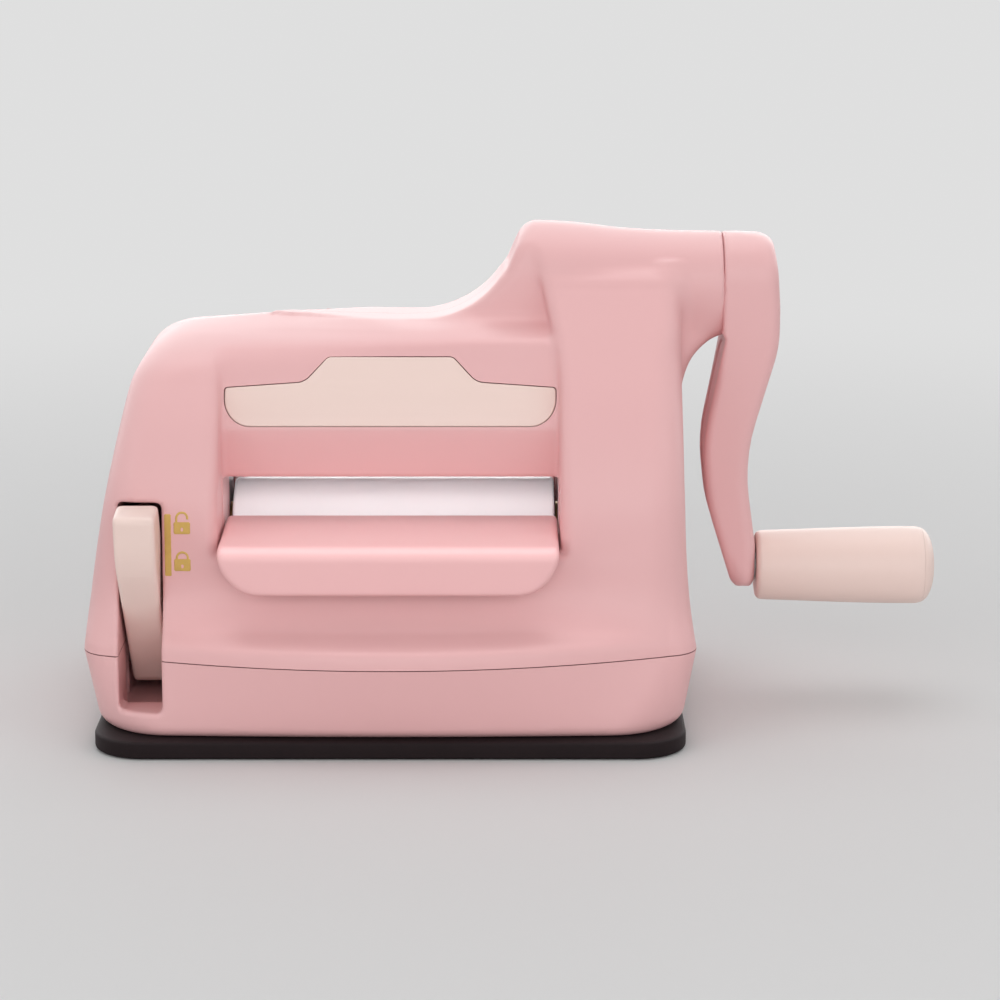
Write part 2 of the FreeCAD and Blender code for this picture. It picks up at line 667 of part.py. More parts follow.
for name, height, drive_end in (("upper", UPPER, DRIVE_END), ("lower", LOWER, f"({SYNC_X} + sync_width)")):
    turned(f"{name}_roller", [
        (f"-{ROLLER_END}", "shaft_radius"), (f"-{ROLLER_END}", "roller_radius - roller_chamfer"),
        (f"-{ROLLER_END} + roller_chamfer", "roller_radius"),
        (f"{ROLLER_END} - roller_chamfer", "roller_radius"),
        (ROLLER_END, "roller_radius - roller_chamfer"), (ROLLER_END, "shaft_radius")], z=height)
    turned(f"{name}_roller_shaft", rod("shaft_radius", f"-{PLATE_OUT} - 4", f"{drive_end} + 2.4"), z=height)
    for side, sign in (("left", "-"), ("right", "")):
        turned(f"{name}_{side}_bush", [
            (f"{sign}({PLATE} - plate_gap - 0.4)", "shaft_radius + running_gap"),
            (f"{sign}({PLATE} - plate_gap - 0.4)", "bush_flange"), (f"{sign}{PLATE}", "bush_flange"),
            (f"{sign}{PLATE}", "bush_radius"), (f"{sign}({PLATE_OUT} + 0.8)", "bush_radius"),
            (f"{sign}({PLATE_OUT} + 0.8)", "shaft_radius + running_gap")], z=height)
    rings = [turned("ring", tube("shaft_radius", "ring_radius", start, f"{start} + ring_width"), z=height)
             for start in (f"-{PLATE_OUT} - 1.2 - ring_width", f"{drive_end} + 0.3")]
    gather(f"{name}_shaft_rings", rings)


# Gear train

def gear(teeth, width, x, z, phase):
    """A spur gear with stub involute teeth at 25 degrees, one tooth centred on the phase angle."""
    pitch = num("gear_module") * teeth / 2
    tip, root = pitch + 0.8 * num("gear_module"), pitch - 1.05 * num("gear_module")
    base = pitch * math.cos(math.radians(25))
    start = max(base, root)
    lean = math.tan(math.radians(25)) - math.radians(25)
    half = math.pi / (2 * teeth) - num("backlash") / (2 * pitch) + lean

    def flank(radius, side, centre):
        angle = math.acos(min(1, base / radius))
        turn = centre + side * (half - math.tan(angle) + angle)
        return V(radius * math.cos(turn), radius * math.sin(turn), 0)

    edges = []
    step = 2 * math.pi / teeth
    for i in range(teeth):
        centre = math.radians(phase) + i * step
        up = [flank(r, -1, centre) for r in (start, (start + tip) / 2, tip)]
        down = [flank(r, 1, centre) for r in (tip, (start + tip) / 2, start)]
        crest = V(tip * math.cos(centre), tip * math.sin(centre), 0)
        foot_up, foot_down = V(up[0]) * (root / start), V(down[2]) * (root / start)
        gap = V(root * math.cos(centre + step / 2), root * math.sin(centre + step / 2), 0)
        following = flank(start, -1, centre + step) * (root / start)
        if start - root > 1e-6:
            edges.append(Part.LineSegment(foot_up, up[0]).toShape())
        edges.append(Part.Arc(*up).toShape())
        edges.append(Part.Arc(up[2], crest, down[0]).toShape())
        edges.append(Part.Arc(*down).toShape())
        if start - root > 1e-6:
            edges.append(Part.LineSegment(down[2], foot_down).toShape())
        edges.append(Part.Arc(foot_down, gap, following).toShape())
    face = Part.Face(Part.Wire(edges))
    blank = face.extrude(V(0, 0, width)).cut(bar(num("shaft_radius"), 0, 0, (-1, width + 1), UP))
    blank.rotate(V(), V(1, 1, 1), 120)
    blank.translate(V(x, 0, z))
    return blank


def lightened(blank, pitch, x, width, z):
    """A gear with round windows in its web."""
    windows = []
    for i in range(6):
        angle = math.radians(60 * i + 30)
        spot = pitch * 0.58 * math.cos(angle), z + pitch * 0.58 * math.sin(angle)
        windows.append(bar(pitch * 0.17, (x - 1, x + width + 1), *spot))
    return blank.cut(windows)


teeth = {name: int(num(name + "_teeth")) for name in ("sync", "drive", "pinion")}
sync_width, drive_width = num("sync_width"), num("drive_width")
sync_pitch, drive_pitch = num("gear_module * sync_teeth / 2"), num("gear_module * drive_teeth / 2")
upper_sync = gear(teeth["sync"], sync_width, num(SYNC_X), num(UPPER), -90)
lower_sync = gear(teeth["sync"], sync_width, num(SYNC_X), num(LOWER), 90 + 180 / teeth["sync"])
drive = gear(teeth["drive"], drive_width, num(DRIVE_X), num(UPPER), 90)
solid("upper_sync_gear", lightened(upper_sync, sync_pitch, num(SYNC_X), sync_width, num(UPPER)))
solid("lower_sync_gear", lightened(lower_sync, sync_pitch, num(SYNC_X), sync_width, num(LOWER)))
solid("drive_gear", lightened(drive, drive_pitch, num(DRIVE_X), drive_width, num(UPPER)))
solid("crank_pinion", gear(teeth["pinion"], drive_width + 1, num(DRIVE_X) - 0.5, num(CRANK),
                           -90 + 180 / teeth["pinion"]))

# Crank: shaft and bushes, bowed arm with its inner cover, and the turning grip

turned("crank_shaft", rod("shaft_radius", f"{PLATE} - 0.4", f"{HUB_X} + 7"), z=CRANK)
turned("crank_inner_bush", [
    (PLATE, "shaft_radius + running_gap"), (PLATE, "bush_radius"), (PLATE_OUT, "bush_radius"),
    (PLATE_OUT, "bush_flange"), (f"{PLATE_OUT} + 1.2", "bush_flange"),
    (f"{PLATE_OUT} + 1.2", "shaft_radius + running_gap")], z=CRANK)
turned("crank_outer_bush", tube("shaft_radius + running_gap", "bush_radius", f"{TOWER_X} - 1.5",
                                f"{SLEEVE_X} - 0.3"), z=CRANK)
turned("crank_spacer", tube("shaft_radius", "ring_radius", f"{PLATE_OUT} + 1.5", f"{DRIVE_X} - 0.6"),
       z=CRANK)

hub_x, hub_end, grip_x = num(HUB_X), num(HUB_END), num(GRIP_X)
crank_z, grip_z = num(CRANK), num(GRIP_Z)
hub_radius, arm_half = num("sleeve_radius"), num("arm_thickness / 2")
arm_top, arm_low = crank_z + hub_radius, grip_z - num("arm_foot")


def arm_outline(shift):
    """The arm from the front, as (x, z) corners, moved along X."""
    bow = hub_x - num("arm_bow")
    corners = [
        (hub_x, crank_z + hub_radius, 1), (hub_end, crank_z + hub_radius, 5),
        (hub_end, crank_z - 15.2, 40), (grip_x - 3.1, crank_z - 42.7, 45), (grip_x, grip_z + 6, 8),
        (grip_x, arm_low, 1.2), (grip_x - 3.6, arm_low, 1),
        (bow + 2.1, crank_z - 53.5, 40), (bow, crank_z - 39, 40),
        (hub_x + 1.1, crank_z - hub_radius - 0.2, 0), (hub_x, crank_z - hub_radius - 0.2, 0)]
    return [(x + shift, z, radius) for x, z, radius in corners]


arm_side = [
    (hub_radius, arm_top, hub_radius - 0.7), (-hub_radius, arm_top, hub_radius - 0.7),
    (-arm_half, arm_low, arm_half - 1), (arm_half, arm_low, arm_half - 1)]
arm = along_y(arm_outline(0), -20, 20).common(along_x(arm_side, 40, 120))
inner_strip = along_y(arm_outline(0), -20, 20).cut(along_y(arm_outline(1.2), -20, 20))
cover_half = arm_half - 2.6
cover = inner_strip.common(block((0, hub_end), (-cover_half, cover_half), (grip_z + 5, crank_z - 15)))
arm = arm.cut([cover, bar(num("shaft_radius"), (0, hub_x + 7), 0, crank_z),
               bar(num("grip_bore"), (grip_x - 4.5, grip_x + 5), 0, grip_z)])
solid("crank_arm", arm)
solid("crank_back_cover", cover)

bore = "grip_bore + running_gap"
turned("grip", [
    ("0.4", bore), ("0.4", "grip_neck - 0.8"), ("1.2", "grip_neck"), ("grip_length - 12", "grip_radius"),
    ("grip_length - 6", "grip_radius"), ("grip_length - 4.4", "grip_radius * 0.964"),
    ("grip_length - 3", "grip_radius * 0.866"), ("grip_length - 3", "grip_bore + 2.6"), ("grip_length - 6", "grip_bore + 2.6"),
    ("grip_length - 6", bore)], x=GRIP_X, z=GRIP_Z)
turned("grip_cap", [
    ("grip_length - 3.8", "0"), ("grip_length - 3.8", "grip_bore + 2.6"),
    ("grip_length - 3", "grip_bore + 2.6"), ("grip_length - 3", "grip_radius * 0.866"),
    ("grip_length - 1.6", "grip_radius * 0.68"), ("grip_length - 0.5", "grip_radius * 0.4"),
    ("grip_length", "grip_radius * 0.12"), ("grip_length", "0")], x=GRIP_X, z=GRIP_Z)
turned("grip_pin", [
    ("-4.5", "0"), ("-4.5", "grip_bore"), ("grip_length - 5.8", "grip_bore"),
    ("grip_length - 5.8", "grip_bore + 2"), ("grip_length - 4.3", "grip_bore + 2"),
    ("grip_length - 4.3", "0")], x=GRIP_X, z=GRIP_Z)

# Suction lever, its shaft and cam, and the plunger that lifts the cup

lever_y, lever_z = LEVER_AT
tip_y, tip_z = num("lever_setback - base_depth / 2"), lever_z + num("lever_rise")
lever_side = [
    (tip_y - 4.6, tip_z - 1, 1.5), (tip_y - 3, tip_z - 12, 25), (lever_y - 18, lever_z + 7, 12),
    (lever_y - 7, lever_z - 6.5, 6), (lever_y + 6.5, lever_z - 6.5, 6), (lever_y + 6.5, lever_z + 6.5, 5.5),
    (lever_y - 13, lever_z + 19, 15), (tip_y + 4.5, tip_z + 0.5, 2)]
lever_x, tip_half, root_half = -num(LEVER_X), num("lever_width / 2"), num("lever_root_width / 2")
lever_front = [
    (lever_x - root_half, lever_z - 10, 0), (lever_x + root_half, lever_z - 10, 0),
    (lever_x + root_half, lever_z + 8, 30), (lever_x + tip_half, tip_z - 11, 12),
    (lever_x + tip_half, tip_z + 5, 0), (lever_x - tip_half, tip_z + 5, 0),
    (lever_x - tip_half, tip_z - 11, 12), (lever_x - root_half, lever_z + 8, 30)]
lever = along_x(lever_side, -80, -40).common(along_y(lever_front, -80, 20))
solid("lever", lever.cut(bar(num("lever_shaft_radius"), (-90, 0), lever_y, lever_z)))
turned("lever_shaft", rod("lever_shaft_radius", f"-{WELL_LOW} - 2.8", "cam_width / 2 + 6.8"),
       y=LEVER_Y, z=LEVER_Z)
cam_z = num(LEVER_Z) - num(CAM_DIP)
half_cam = num("cam_width / 2")
cam = bar(num("cam_radius"), (-half_cam, half_cam), STEM_AT, cam_z)
solid("suction_cam", cam.cut(bar(num("lever_shaft_radius"), (-20, 20), lever_y, lever_z)))

window, yoke = num("cam_radius") + 0.15, num("yoke_bar")
yoke_low = cam_z - window - yoke
inside = window + 0.6
frame = block((-half_cam - 0.5, half_cam + 0.5), (STEM_AT - inside - yoke, STEM_AT + inside + yoke),
              (yoke_low, cam_z + window + yoke))
frame = frame.cut(block((-20, 20), (STEM_AT - inside, STEM_AT + inside), (cam_z - window, cam_z + window)))
stem = bar(num("stem_radius"), 0, STEM_AT, (num("cup_thickness"), yoke_low + 0.5), UP)
solid("suction_plunger", frame.fuse(stem))
turned("suction_cup", [
    ("0", "0"), ("0", "cup_radius - 4"), ("0.6", "cup_radius"), ("cup_thickness", "cup_radius"),
    ("cup_thickness", "0")], y=CUP_Y, turn=(V(0, 1, 0), -90))


# Screws

def screws(label, places, head_height, length, tip):
    """Like screws as one sub-part, each placed where its head meets its shank."""
    made = []
    for spot in places:
        away = V(tip) * -head_height
        head = Part.makeCylinder(HEAD, head_height, V(*spot) + away, V(tip))
        made.append(head.fuse(Part.makeCylinder(SCREW, length, V(*spot), V(tip))).removeSplitter())
    feature = doc.addObject("Part::Feature", "Solid_" + label)
    feature.Shape = Part.makeCompound(made)
    return keep(feature, label)


head_height = num("screw_head_height")
screws("base_screws", [(x, y, floor + 3) for x, y in BASE_SCREWS], head_height,
       SEAM_Z + num("base_screw_bite") - floor - 3, V(0, 0, 1))
screws("housing_screws", [(x, 6, z) for x, z in SHELL_SCREWS], head_height,
       num("shell_screw_length"), V(0, -1, 0))
screws("plate_screws", [(x, y, floor + num("plate_thickness")) for x, y in FOOT_SCREWS], head_height,
       num("plate_thickness") + 1.8, V(0, 0, -1))


# Checks, then one file for each sub-part

doc.recompute()
os.makedirs("parts", exist_ok=True)
for item in doc.Objects:
    if "Invalid" in item.State or "Error" in item.State:
        raise RuntimeError(f"{item.Label} did not rebuild: {item.State}")
for node in NODES:
    if node.Shape.isNull() or not node.Shape.isValid():
        raise RuntimeError(f"{node.Label} has no sound shape")
    node.Shape.exportStep(f"parts/{node.Label}.step")
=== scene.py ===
import bpy
import bmesh
import json
import math
import numpy as np
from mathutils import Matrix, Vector


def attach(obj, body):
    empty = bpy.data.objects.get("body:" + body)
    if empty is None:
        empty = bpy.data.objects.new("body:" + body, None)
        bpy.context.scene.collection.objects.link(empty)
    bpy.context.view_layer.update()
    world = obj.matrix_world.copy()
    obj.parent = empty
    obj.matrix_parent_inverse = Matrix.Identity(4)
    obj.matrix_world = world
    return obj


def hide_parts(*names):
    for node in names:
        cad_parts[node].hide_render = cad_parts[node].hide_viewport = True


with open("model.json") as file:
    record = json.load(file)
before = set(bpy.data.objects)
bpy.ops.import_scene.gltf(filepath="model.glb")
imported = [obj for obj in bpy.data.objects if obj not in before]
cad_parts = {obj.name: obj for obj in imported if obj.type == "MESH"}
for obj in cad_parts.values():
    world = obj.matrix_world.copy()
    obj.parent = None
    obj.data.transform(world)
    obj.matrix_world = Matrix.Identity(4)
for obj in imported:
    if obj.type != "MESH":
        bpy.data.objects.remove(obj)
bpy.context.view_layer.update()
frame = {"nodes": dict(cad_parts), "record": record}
nodes = frame["nodes"]
mm = 0.001  # forms are drawn in millimetres and scaled once, when a mesh is made
far = 90  # past the end of any form, for cuts that run right through
squareTurn = ((-1, -1), (1, -1), (1, 1), (-1, 1))  # corners in turn, on either side of the middle
print("stage: frame loaded,", len(nodes), "nodes")


# soft mouldings are distance fields, negative inside, that skinMesh turns into quads

def roundCut(a, b, r):  # what lies in both, with the shared edge rounded
    return np.minimum(-r, np.maximum(a, b)) + np.hypot(np.maximum(a + r, 0), np.maximum(b + r, 0))


def roundWeld(a, b, r):  # what lies in either, with a fillet where they meet
    return np.maximum(r, np.minimum(a, b)) - np.hypot(np.maximum(r - a, 0), np.maximum(r - b, 0))


def easeStep(t):
    t = np.clip(t, 0, 1)
    return t * t * (3 - 2 * t)


def steadyCurve(points):  # smooth curve through the points that never overshoots them
    xs, ys = (np.array(c, float) for c in zip(*points))
    step = np.diff(xs)
    slope = np.diff(ys) / step
    tangent = np.concatenate([slope[:1], (slope[:-1] + slope[1:]) / 2, slope[-1:]])
    tangent[1:-1][slope[:-1] * slope[1:] <= 0] = 0
    for i, s in enumerate(slope):
        size = math.hypot(tangent[i], tangent[i + 1])
        if size > 3 * abs(s):
            tangent[i:i + 2] *= 3 * abs(s) / size

    def curve(x):
        x = np.clip(x, xs[0], xs[-1])
        i = np.clip(np.searchsorted(xs, x) - 1, 0, len(step) - 1)
        u = (x - xs[i]) / step[i]
        start = ys[i] * (1 + 2 * u) * (1 - u) ** 2 + tangent[i] * step[i] * u * (1 - u) ** 2
        return start + ys[i + 1] * u * u * (3 - 2 * u) + tangent[i + 1] * step[i] * u * u * (u - 1)

    return curve


def roundedOutline(corners, turnStep=5):  # (a, b, radius) corners to the points of a closed line
    points = []
    for i, (a, b, radius) in enumerate(corners):
        here = np.array([a, b], float)
        back = np.array(corners[i - 1][:2], float) - here
        ahead = np.array(corners[(i + 1) % len(corners)][:2], float) - here
        back, ahead = back / np.linalg.norm(back), ahead / np.linalg.norm(ahead)
        angle = math.acos(max(-1, min(1, float(back @ ahead))))
        if radius <= 0 or angle > math.pi - 0.01:
            points.append(here)
            continue
        middle = (back + ahead) / np.linalg.norm(back + ahead)
        centre = here + middle * radius / math.sin(angle / 2)
        start = here + back * radius / math.tan(angle / 2) - centre
        sweep = math.pi - angle
        sign = 1 if back[0] * ahead[1] - back[1] * ahead[0] < 0 else -1
        count = max(2, int(math.degrees(sweep) / turnStep) + 1)
        for k in range(count + 1):
            t = sign * sweep * k / count
            points.append(centre + np.array([start[0] * math.cos(t) - start[1] * math.sin(t),
                                             start[0] * math.sin(t) + start[1] * math.cos(t)]))
    return np.array(points)


def mirrored(right):  # corners up the right side, and the same back down the left
    return roundedOutline(right + [(-a, b, radius) for a, b, radius in reversed(right)])


def outlineDistance(points, a, b):  # distance to a closed line, negative inside it
    a, b = np.broadcast_arrays(np.asarray(a, float), np.asarray(b, float))
    best = np.full(a.shape, 1e9)
    inside = np.zeros(a.shape, bool)
    for p, q in zip(points, np.roll(points, -1, axis=0)):
        e = q - p
        wa, wb = a - p[0], b - p[1]
        t = np.clip((wa * e[0] + wb * e[1]) / max(e @ e, 1e-12), 0, 1)
        best = np.minimum(best, (wa - t * e[0]) ** 2 + (wb - t * e[1]) ** 2)
        if p[1] != q[1]:
            across = (p[1] > b) != (q[1] > b)
            inside ^= across & (a < (q[0] - p[0]) * (b - p[1]) / (q[1] - p[1]) + p[0])
    return np.where(inside, -1, 1) * np.sqrt(best)


def boxField(low, high, spot, r=0.0):  # a block, or a flat panel for two axes, with rounded edges
    gaps = [np.abs(c - (l + h) / 2) - (h - l) / 2 + r for c, l, h in zip(spot, low, high)]
    outside = np.sqrt(sum(np.maximum(g, 0) ** 2 for g in gaps))
    deepest = gaps[0]
    for gap in gaps[1:]:
        deepest = np.maximum(deepest, gap)
    return outside + np.minimum(deepest, 0) - r


def skinMesh(field, low, high, step):  # the zero surface of a field as quads, pulled onto the surface
    axes = [np.arange(l, h + step, step) for l, h in zip(low, high)]
    values = field(axes[0][:, None, None], axes[1][None, :, None], axes[2][None, None, :])
    values = np.broadcast_to(values, [len(a) for a in axes]).astype(np.float32)
    shape = [n - 1 for n in values.shape]
    total = np.zeros((3, *shape), np.float32)
    count = np.zeros(shape, np.float32)

    def corner(offset):
        return values[tuple(slice(o, o + n) for o, n in zip(offset, shape))]

    for axis in range(3):
        for first in (0, 1):
            for second in (0, 1):
                start = [first, second]
                start.insert(axis, 0)
                end = list(start)
                end[axis] = 1
                a, b = corner(start), corner(end)
                crossing = (a < 0) != (b < 0)
                along = np.where(crossing, a / np.where(crossing, a - b, 1), 0)
                for k in range(3):
                    total[k] += along if k == axis else start[k] * crossing
                count += crossing
    active = count > 0
    index = np.full(shape, -1, np.int64)
    index[active] = np.arange(active.sum())
    points = (np.argwhere(active) + (total[:, active] / count[active]).T) * step + np.array(low)
    quads = []
    for axis in range(3):
        others = [k for k in range(3) if k != axis]
        span = [slice(1, n) for n in shape]
        span[axis] = slice(0, shape[axis])
        nextOne = list(span)
        nextOne[axis] = slice(1, shape[axis] + 1)
        here, there = values[tuple(span)] < 0, values[tuple(nextOne)] < 0
        spots = np.argwhere(here != there)
        spots[:, others] += 1
        outward = here[here != there]
        ring = []
        for shift in ((0, 0), (1, 0), (1, 1), (0, 1)):
            cell = spots.copy()
            cell[:, others[0]] -= shift[0]
            cell[:, others[1]] -= shift[1]
            ring.append(index[tuple(cell.T)])
        ring = np.stack(ring, 1)
        flip = outward == (axis == 1)
        ring[flip] = ring[flip][:, ::-1]
        quads.append(ring)
    return pulledOn(field, points, step), np.concatenate(quads)


def pulledOn(field, points, step):  # a few Newton steps put each point on the surface
    tiny = 0.05
    for _ in range(3):
        value = field(*points.T)
        slope = np.stack([(field(*(points + tiny * way).T) - field(*(points - tiny * way).T)) / (2 * tiny)
                          for way in np.eye(3)], 1)
        size = np.maximum((slope ** 2).sum(1), 0.05)
        move = -slope * (value / size)[:, None]
        length = np.maximum(np.linalg.norm(move, axis=1), 1e-9)
        points = points + move * np.minimum(1, 0.5 * step / length)[:, None]
    return points


# meshes and pieces

def added(name, data):  # a new object in the scene
    piece = bpy.data.objects.new(name, data)
    bpy.context.scene.collection.objects.link(piece)
    return piece


def newMesh(name, points, faces, outward=False):  # millimetres in, metres out, smooth shaded
    mesh = bpy.data.meshes.new(name)
    mesh.from_pydata((np.asarray(points, float) * mm).tolist(), [], [list(map(int, f)) for f in faces])
    if outward:
        work = bmesh.new()
        work.from_mesh(mesh)
        bmesh.ops.recalc_face_normals(work, faces=work.faces)
        work.to_mesh(mesh)
        work.free()
    mesh.polygons.foreach_set("use_smooth", [True] * len(mesh.polygons))
    return added(name, mesh)


def skinned(name, field, low, high, step):
    return newMesh(name, *skinMesh(field, low, high, step))


def settle(piece, body, slot, *stands, sharp=None, material=None):  # finish, body and what it stands for
    if not piece.data.materials:
        piece.data.materials.append(material or finishes[slot])
    if sharp:
        piece.data.set_sharp_from_angle(angle=math.radians(sharp))
    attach(piece, body)
    if stands:
        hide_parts(*stands)
    return piece


def lathe(name, profile, start, axis="x", closed=False, turns=96):  # (along, radius) corners about an axis
    points, rings, faces = [], [], []
    for along, radius in profile:
        count = turns if radius > 0 else 1
        rings.append(list(range(len(points), len(points) + count)))
        for k in range(count):
            turn = 2 * math.pi * k / turns
            across, up = radius * math.sin(turn), radius * math.cos(turn)
            spot = {"x": (along, across, up), "y": (across, along, up), "z": (across, up, along)}[axis]
            points.append([s + p for s, p in zip(start, spot)])
    for a, b in zip(rings, rings[1:] + (rings[:1] if closed else [])):
        for k in range(turns):
            j = (k + 1) % turns
            face = [a[k % len(a)], b[k % len(b)], b[j % len(b)], a[j % len(a)]]
            faces.append(list(dict.fromkeys(face)))
    return newMesh(name, points, faces, outward=True)


def stacked(name, loops):  # like closed loops, joined one to the next and capped
    count = len(loops[0])
    faces = [range(count), range((len(loops) - 1) * count, len(loops) * count)]
    for i in range(len(loops) - 1):
        for k in range(count):
            j = (k + 1) % count
            faces.append([i * count + k, i * count + j, (i + 1) * count + j, (i + 1) * count + k])
    return newMesh(name, np.concatenate(loops), faces, outward=True)


def blocks(name, boxes):  # plain blocks, each between two corners
    points, faces = [], []
    for low, high in boxes:
        at = len(points)
        points += [
            (x, y, z) for z in (low[2], high[2])
            for x, y in ((low[0], low[1]), (high[0], low[1]), (high[0], high[1]), (low[0], high[1]))]
        for ring in ((0, 1, 2, 3), (4, 5, 6, 7), (0, 1, 5, 4), (1, 2, 6, 5), (2, 3, 7, 6), (3, 0, 4, 7)):
            faces.append([at + k for k in ring])
    return newMesh(name, points, faces, outward=True)


def grown(outline, by):  # a flat outline moved outwards
    kept = outline[np.linalg.norm(np.roll(outline, -1, 0) - outline, axis=1) > 1e-6]
    ahead = np.roll(kept, -1, 0) - kept
    ahead /= np.linalg.norm(ahead, axis=1)[:, None]
    side = np.stack([ahead[:, 1], -ahead[:, 0]], 1)
    area = np.sum(kept[:, 0] * np.roll(kept[:, 1], -1) - np.roll(kept[:, 0], -1) * kept[:, 1])
    before = np.roll(side, 1, 0)
    lean = (before + side) / (1 + np.sum(before * side, 1))[:, None]
    return kept + lean * by * np.sign(area)


def madePlain(piece):  # keeps what the modifiers make, as a plain mesh
    before = piece.data
    piece.data = bpy.data.meshes.new_from_object(piece.evaluated_get(bpy.context.evaluated_depsgraph_get()))
    piece.modifiers.clear()
    bpy.data.meshes.remove(before)
    return piece


def carved(piece, cutter, hardFrom=0.7):  # cuts one mesh out of another, with a hard edge along the cut
    cut = piece.modifiers.new("cut", "BOOLEAN")
    cut.operation = "DIFFERENCE"
    cut.object = cutter
    cut.solver = "EXACT"
    cut.material_mode = "TRANSFER"
    madePlain(piece)
    bpy.data.objects.remove(cutter)
    work = bmesh.new()
    work.from_mesh(piece.data)
    for edge in work.edges:
        faces = edge.link_faces
        if len(faces) == 2 and any(f.material_index for f in faces):
            if faces[0].material_index != faces[1].material_index or edge.calc_face_angle() > hardFrom:
                edge.smooth = False
    work.to_mesh(piece.data)
    work.free()
    return piece


# node trees

def feed(tree, node, feeds):  # links what comes from another node, and sets the rest
    for label, value in feeds.items():
        if isinstance(value, bpy.types.NodeSocket):
            tree.links.new(value, node.inputs[label])
        else:
            node.inputs[label].default_value = value
    return node


def addNode(tree, kind, feeds=None, **settings):
    node = tree.nodes.new(kind)
    for key, value in settings.items():
        setattr(node, key, value)
    return feed(tree, node, feeds or {})


# finishes, each read on object coordinates

def newMaterial(name):
    material = bpy.data.materials.new(name)
    material.use_nodes = True
    return material, material.node_tree, material.node_tree.nodes["Principled BSDF"]


def mouldedFinish(name, row):  # plastic or rubber: faint tone drift, fine tool texture, soft gloss
    look = dict(zip(plasticKeys, row))
    material, tree, shader = newMaterial(name)
    spot = addNode(tree, "ShaderNodeTexCoord").outputs["Object"]
    drift = addNode(tree, "ShaderNodeTexNoise", {"Scale": look["driftScale"], "Detail": 3, "Vector": spot})
    drift = drift.outputs["Fac"]
    tone = addNode(tree, "ShaderNodeMix", {
        "A": (*look["colour"], 1), "B": (*look["deep"], 1), "Factor": drift}, data_type="RGBA")
    gloss = addNode(tree, "ShaderNodeMapRange", {
        "To Min": look["rough"] - 0.04, "To Max": look["rough"] + 0.04, "Value": drift})
    grain = addNode(tree, "ShaderNodeTexNoise", {"Scale": look["grainScale"], "Detail": 2, "Vector": spot})
    bump = addNode(tree, "ShaderNodeBump", {
        "Strength": look["grain"], "Distance": 0.00006, "Height": grain.outputs["Fac"]})
    feed(tree, shader, {
        "Base Color": tone.outputs["Result"], "Roughness": gloss.outputs["Result"], "IOR": 1.46,
        "Normal": bump.outputs["Normal"], "Specular IOR Level": look.get("sheen", 0.5)})
    return material


def metalFinish(name, row):  # turned or rolled metal with fine lines
    look = dict(zip(metalKeys, row))
    material, tree, shader = newMaterial(name)
    spot = addNode(tree, "ShaderNodeTexCoord").outputs["Object"]
    lay = addNode(tree, "ShaderNodeMapping", {"Scale": look["stretch"], "Vector": spot}).outputs["Vector"]
    lines = addNode(tree, "ShaderNodeTexNoise", {"Scale": look["lineScale"], "Detail": 4, "Vector": lay})
    lines = lines.outputs["Fac"]
    span = addNode(tree, "ShaderNodeMapRange", {
        "To Min": look["rough"] - 0.08, "To Max": look["rough"] + 0.1, "Value": lines})
    tone = addNode(
        tree, "ShaderNodeMix",
        {"A": (*look["colour"], 1), "B": (*[c * 0.86 for c in look["colour"]], 1), "Factor": lines},
        data_type="RGBA")
    feed(tree, shader, {
        "Base Color": tone.outputs["Result"], "Roughness": span.outputs["Result"],
        "Metallic": look.get("metal", 1)})
    return material


plasticKeys = ("colour", "deep", "rough", "driftScale", "grainScale", "grain", "sheen")
plasticLooks = {
    "pink_shell": ((0.80, 0.465, 0.465), (0.79, 0.45, 0.455), 0.4, 40.0, 5200.0, 0.2),
    "pink_inner": ((0.86, 0.48, 0.49), (0.84, 0.46, 0.47), 0.5, 60.0, 5200.0, 0.3),
    "cream_plastic": ((0.86, 0.67, 0.61), (0.85, 0.655, 0.595), 0.4, 50.0, 5200.0, 0.18),
    "white_roller": ((0.93, 0.91, 0.93), (0.91, 0.89, 0.91), 0.25, 70.0, 3000.0, 0.05),
    "black_rubber": ((0.012, 0.007, 0.008), (0.016, 0.010, 0.011), 0.65, 120.0, 2600.0, 0.6, 0.15),
    "grey_plastic": ((0.30, 0.30, 0.31), (0.26, 0.26, 0.27), 0.5, 80.0, 4000.0, 0.3),
}
# painted shade: a darker pink for the faces of cuts, so pocket outlines, seams and screw holes read as
# shaded gaps
gapShadeLook = ((0.45, 0.20, 0.20), (0.42, 0.18, 0.18), 0.6, 60.0, 5200.0, 0.2)
metalKeys = ("colour", "rough", "stretch", "lineScale", "metal")
metalLooks = {
    "steel": ((0.55, 0.55, 0.56), 0.3, (6, 1, 1), 400.0),
    "zinc_plate": ((0.50, 0.51, 0.53), 0.38, (1, 1, 5), 400.0),
    "bronze": ((0.55, 0.38, 0.18), 0.35, (4, 1, 1), 400.0),
}
goldLook = ((0.62, 0.40, 0.11), 0.45, (1, 1, 1), 900.0, 0.55)
finishes = {slot: mouldedFinish(slot + "Finish", look) for slot, look in plasticLooks.items()}
finishes.update({slot: metalFinish(slot + "Finish", look) for slot, look in metalLooks.items()})
goldPrint = metalFinish("goldPrint", goldLook)
# gapShade is that painted shade, given to the faces of every cut below
gapShade = mouldedFinish("gapShade", gapShadeLook)
for subpart in frame["record"]["subparts"]:
    slots = nodes[subpart["node"]].data.materials
    slots.clear()
    slots.append(finishes[subpart["material_slot"]])
print("stage: finishes set on", len(nodes), "nodes")

# upper shell: one soft form, hollowed and split down the middle

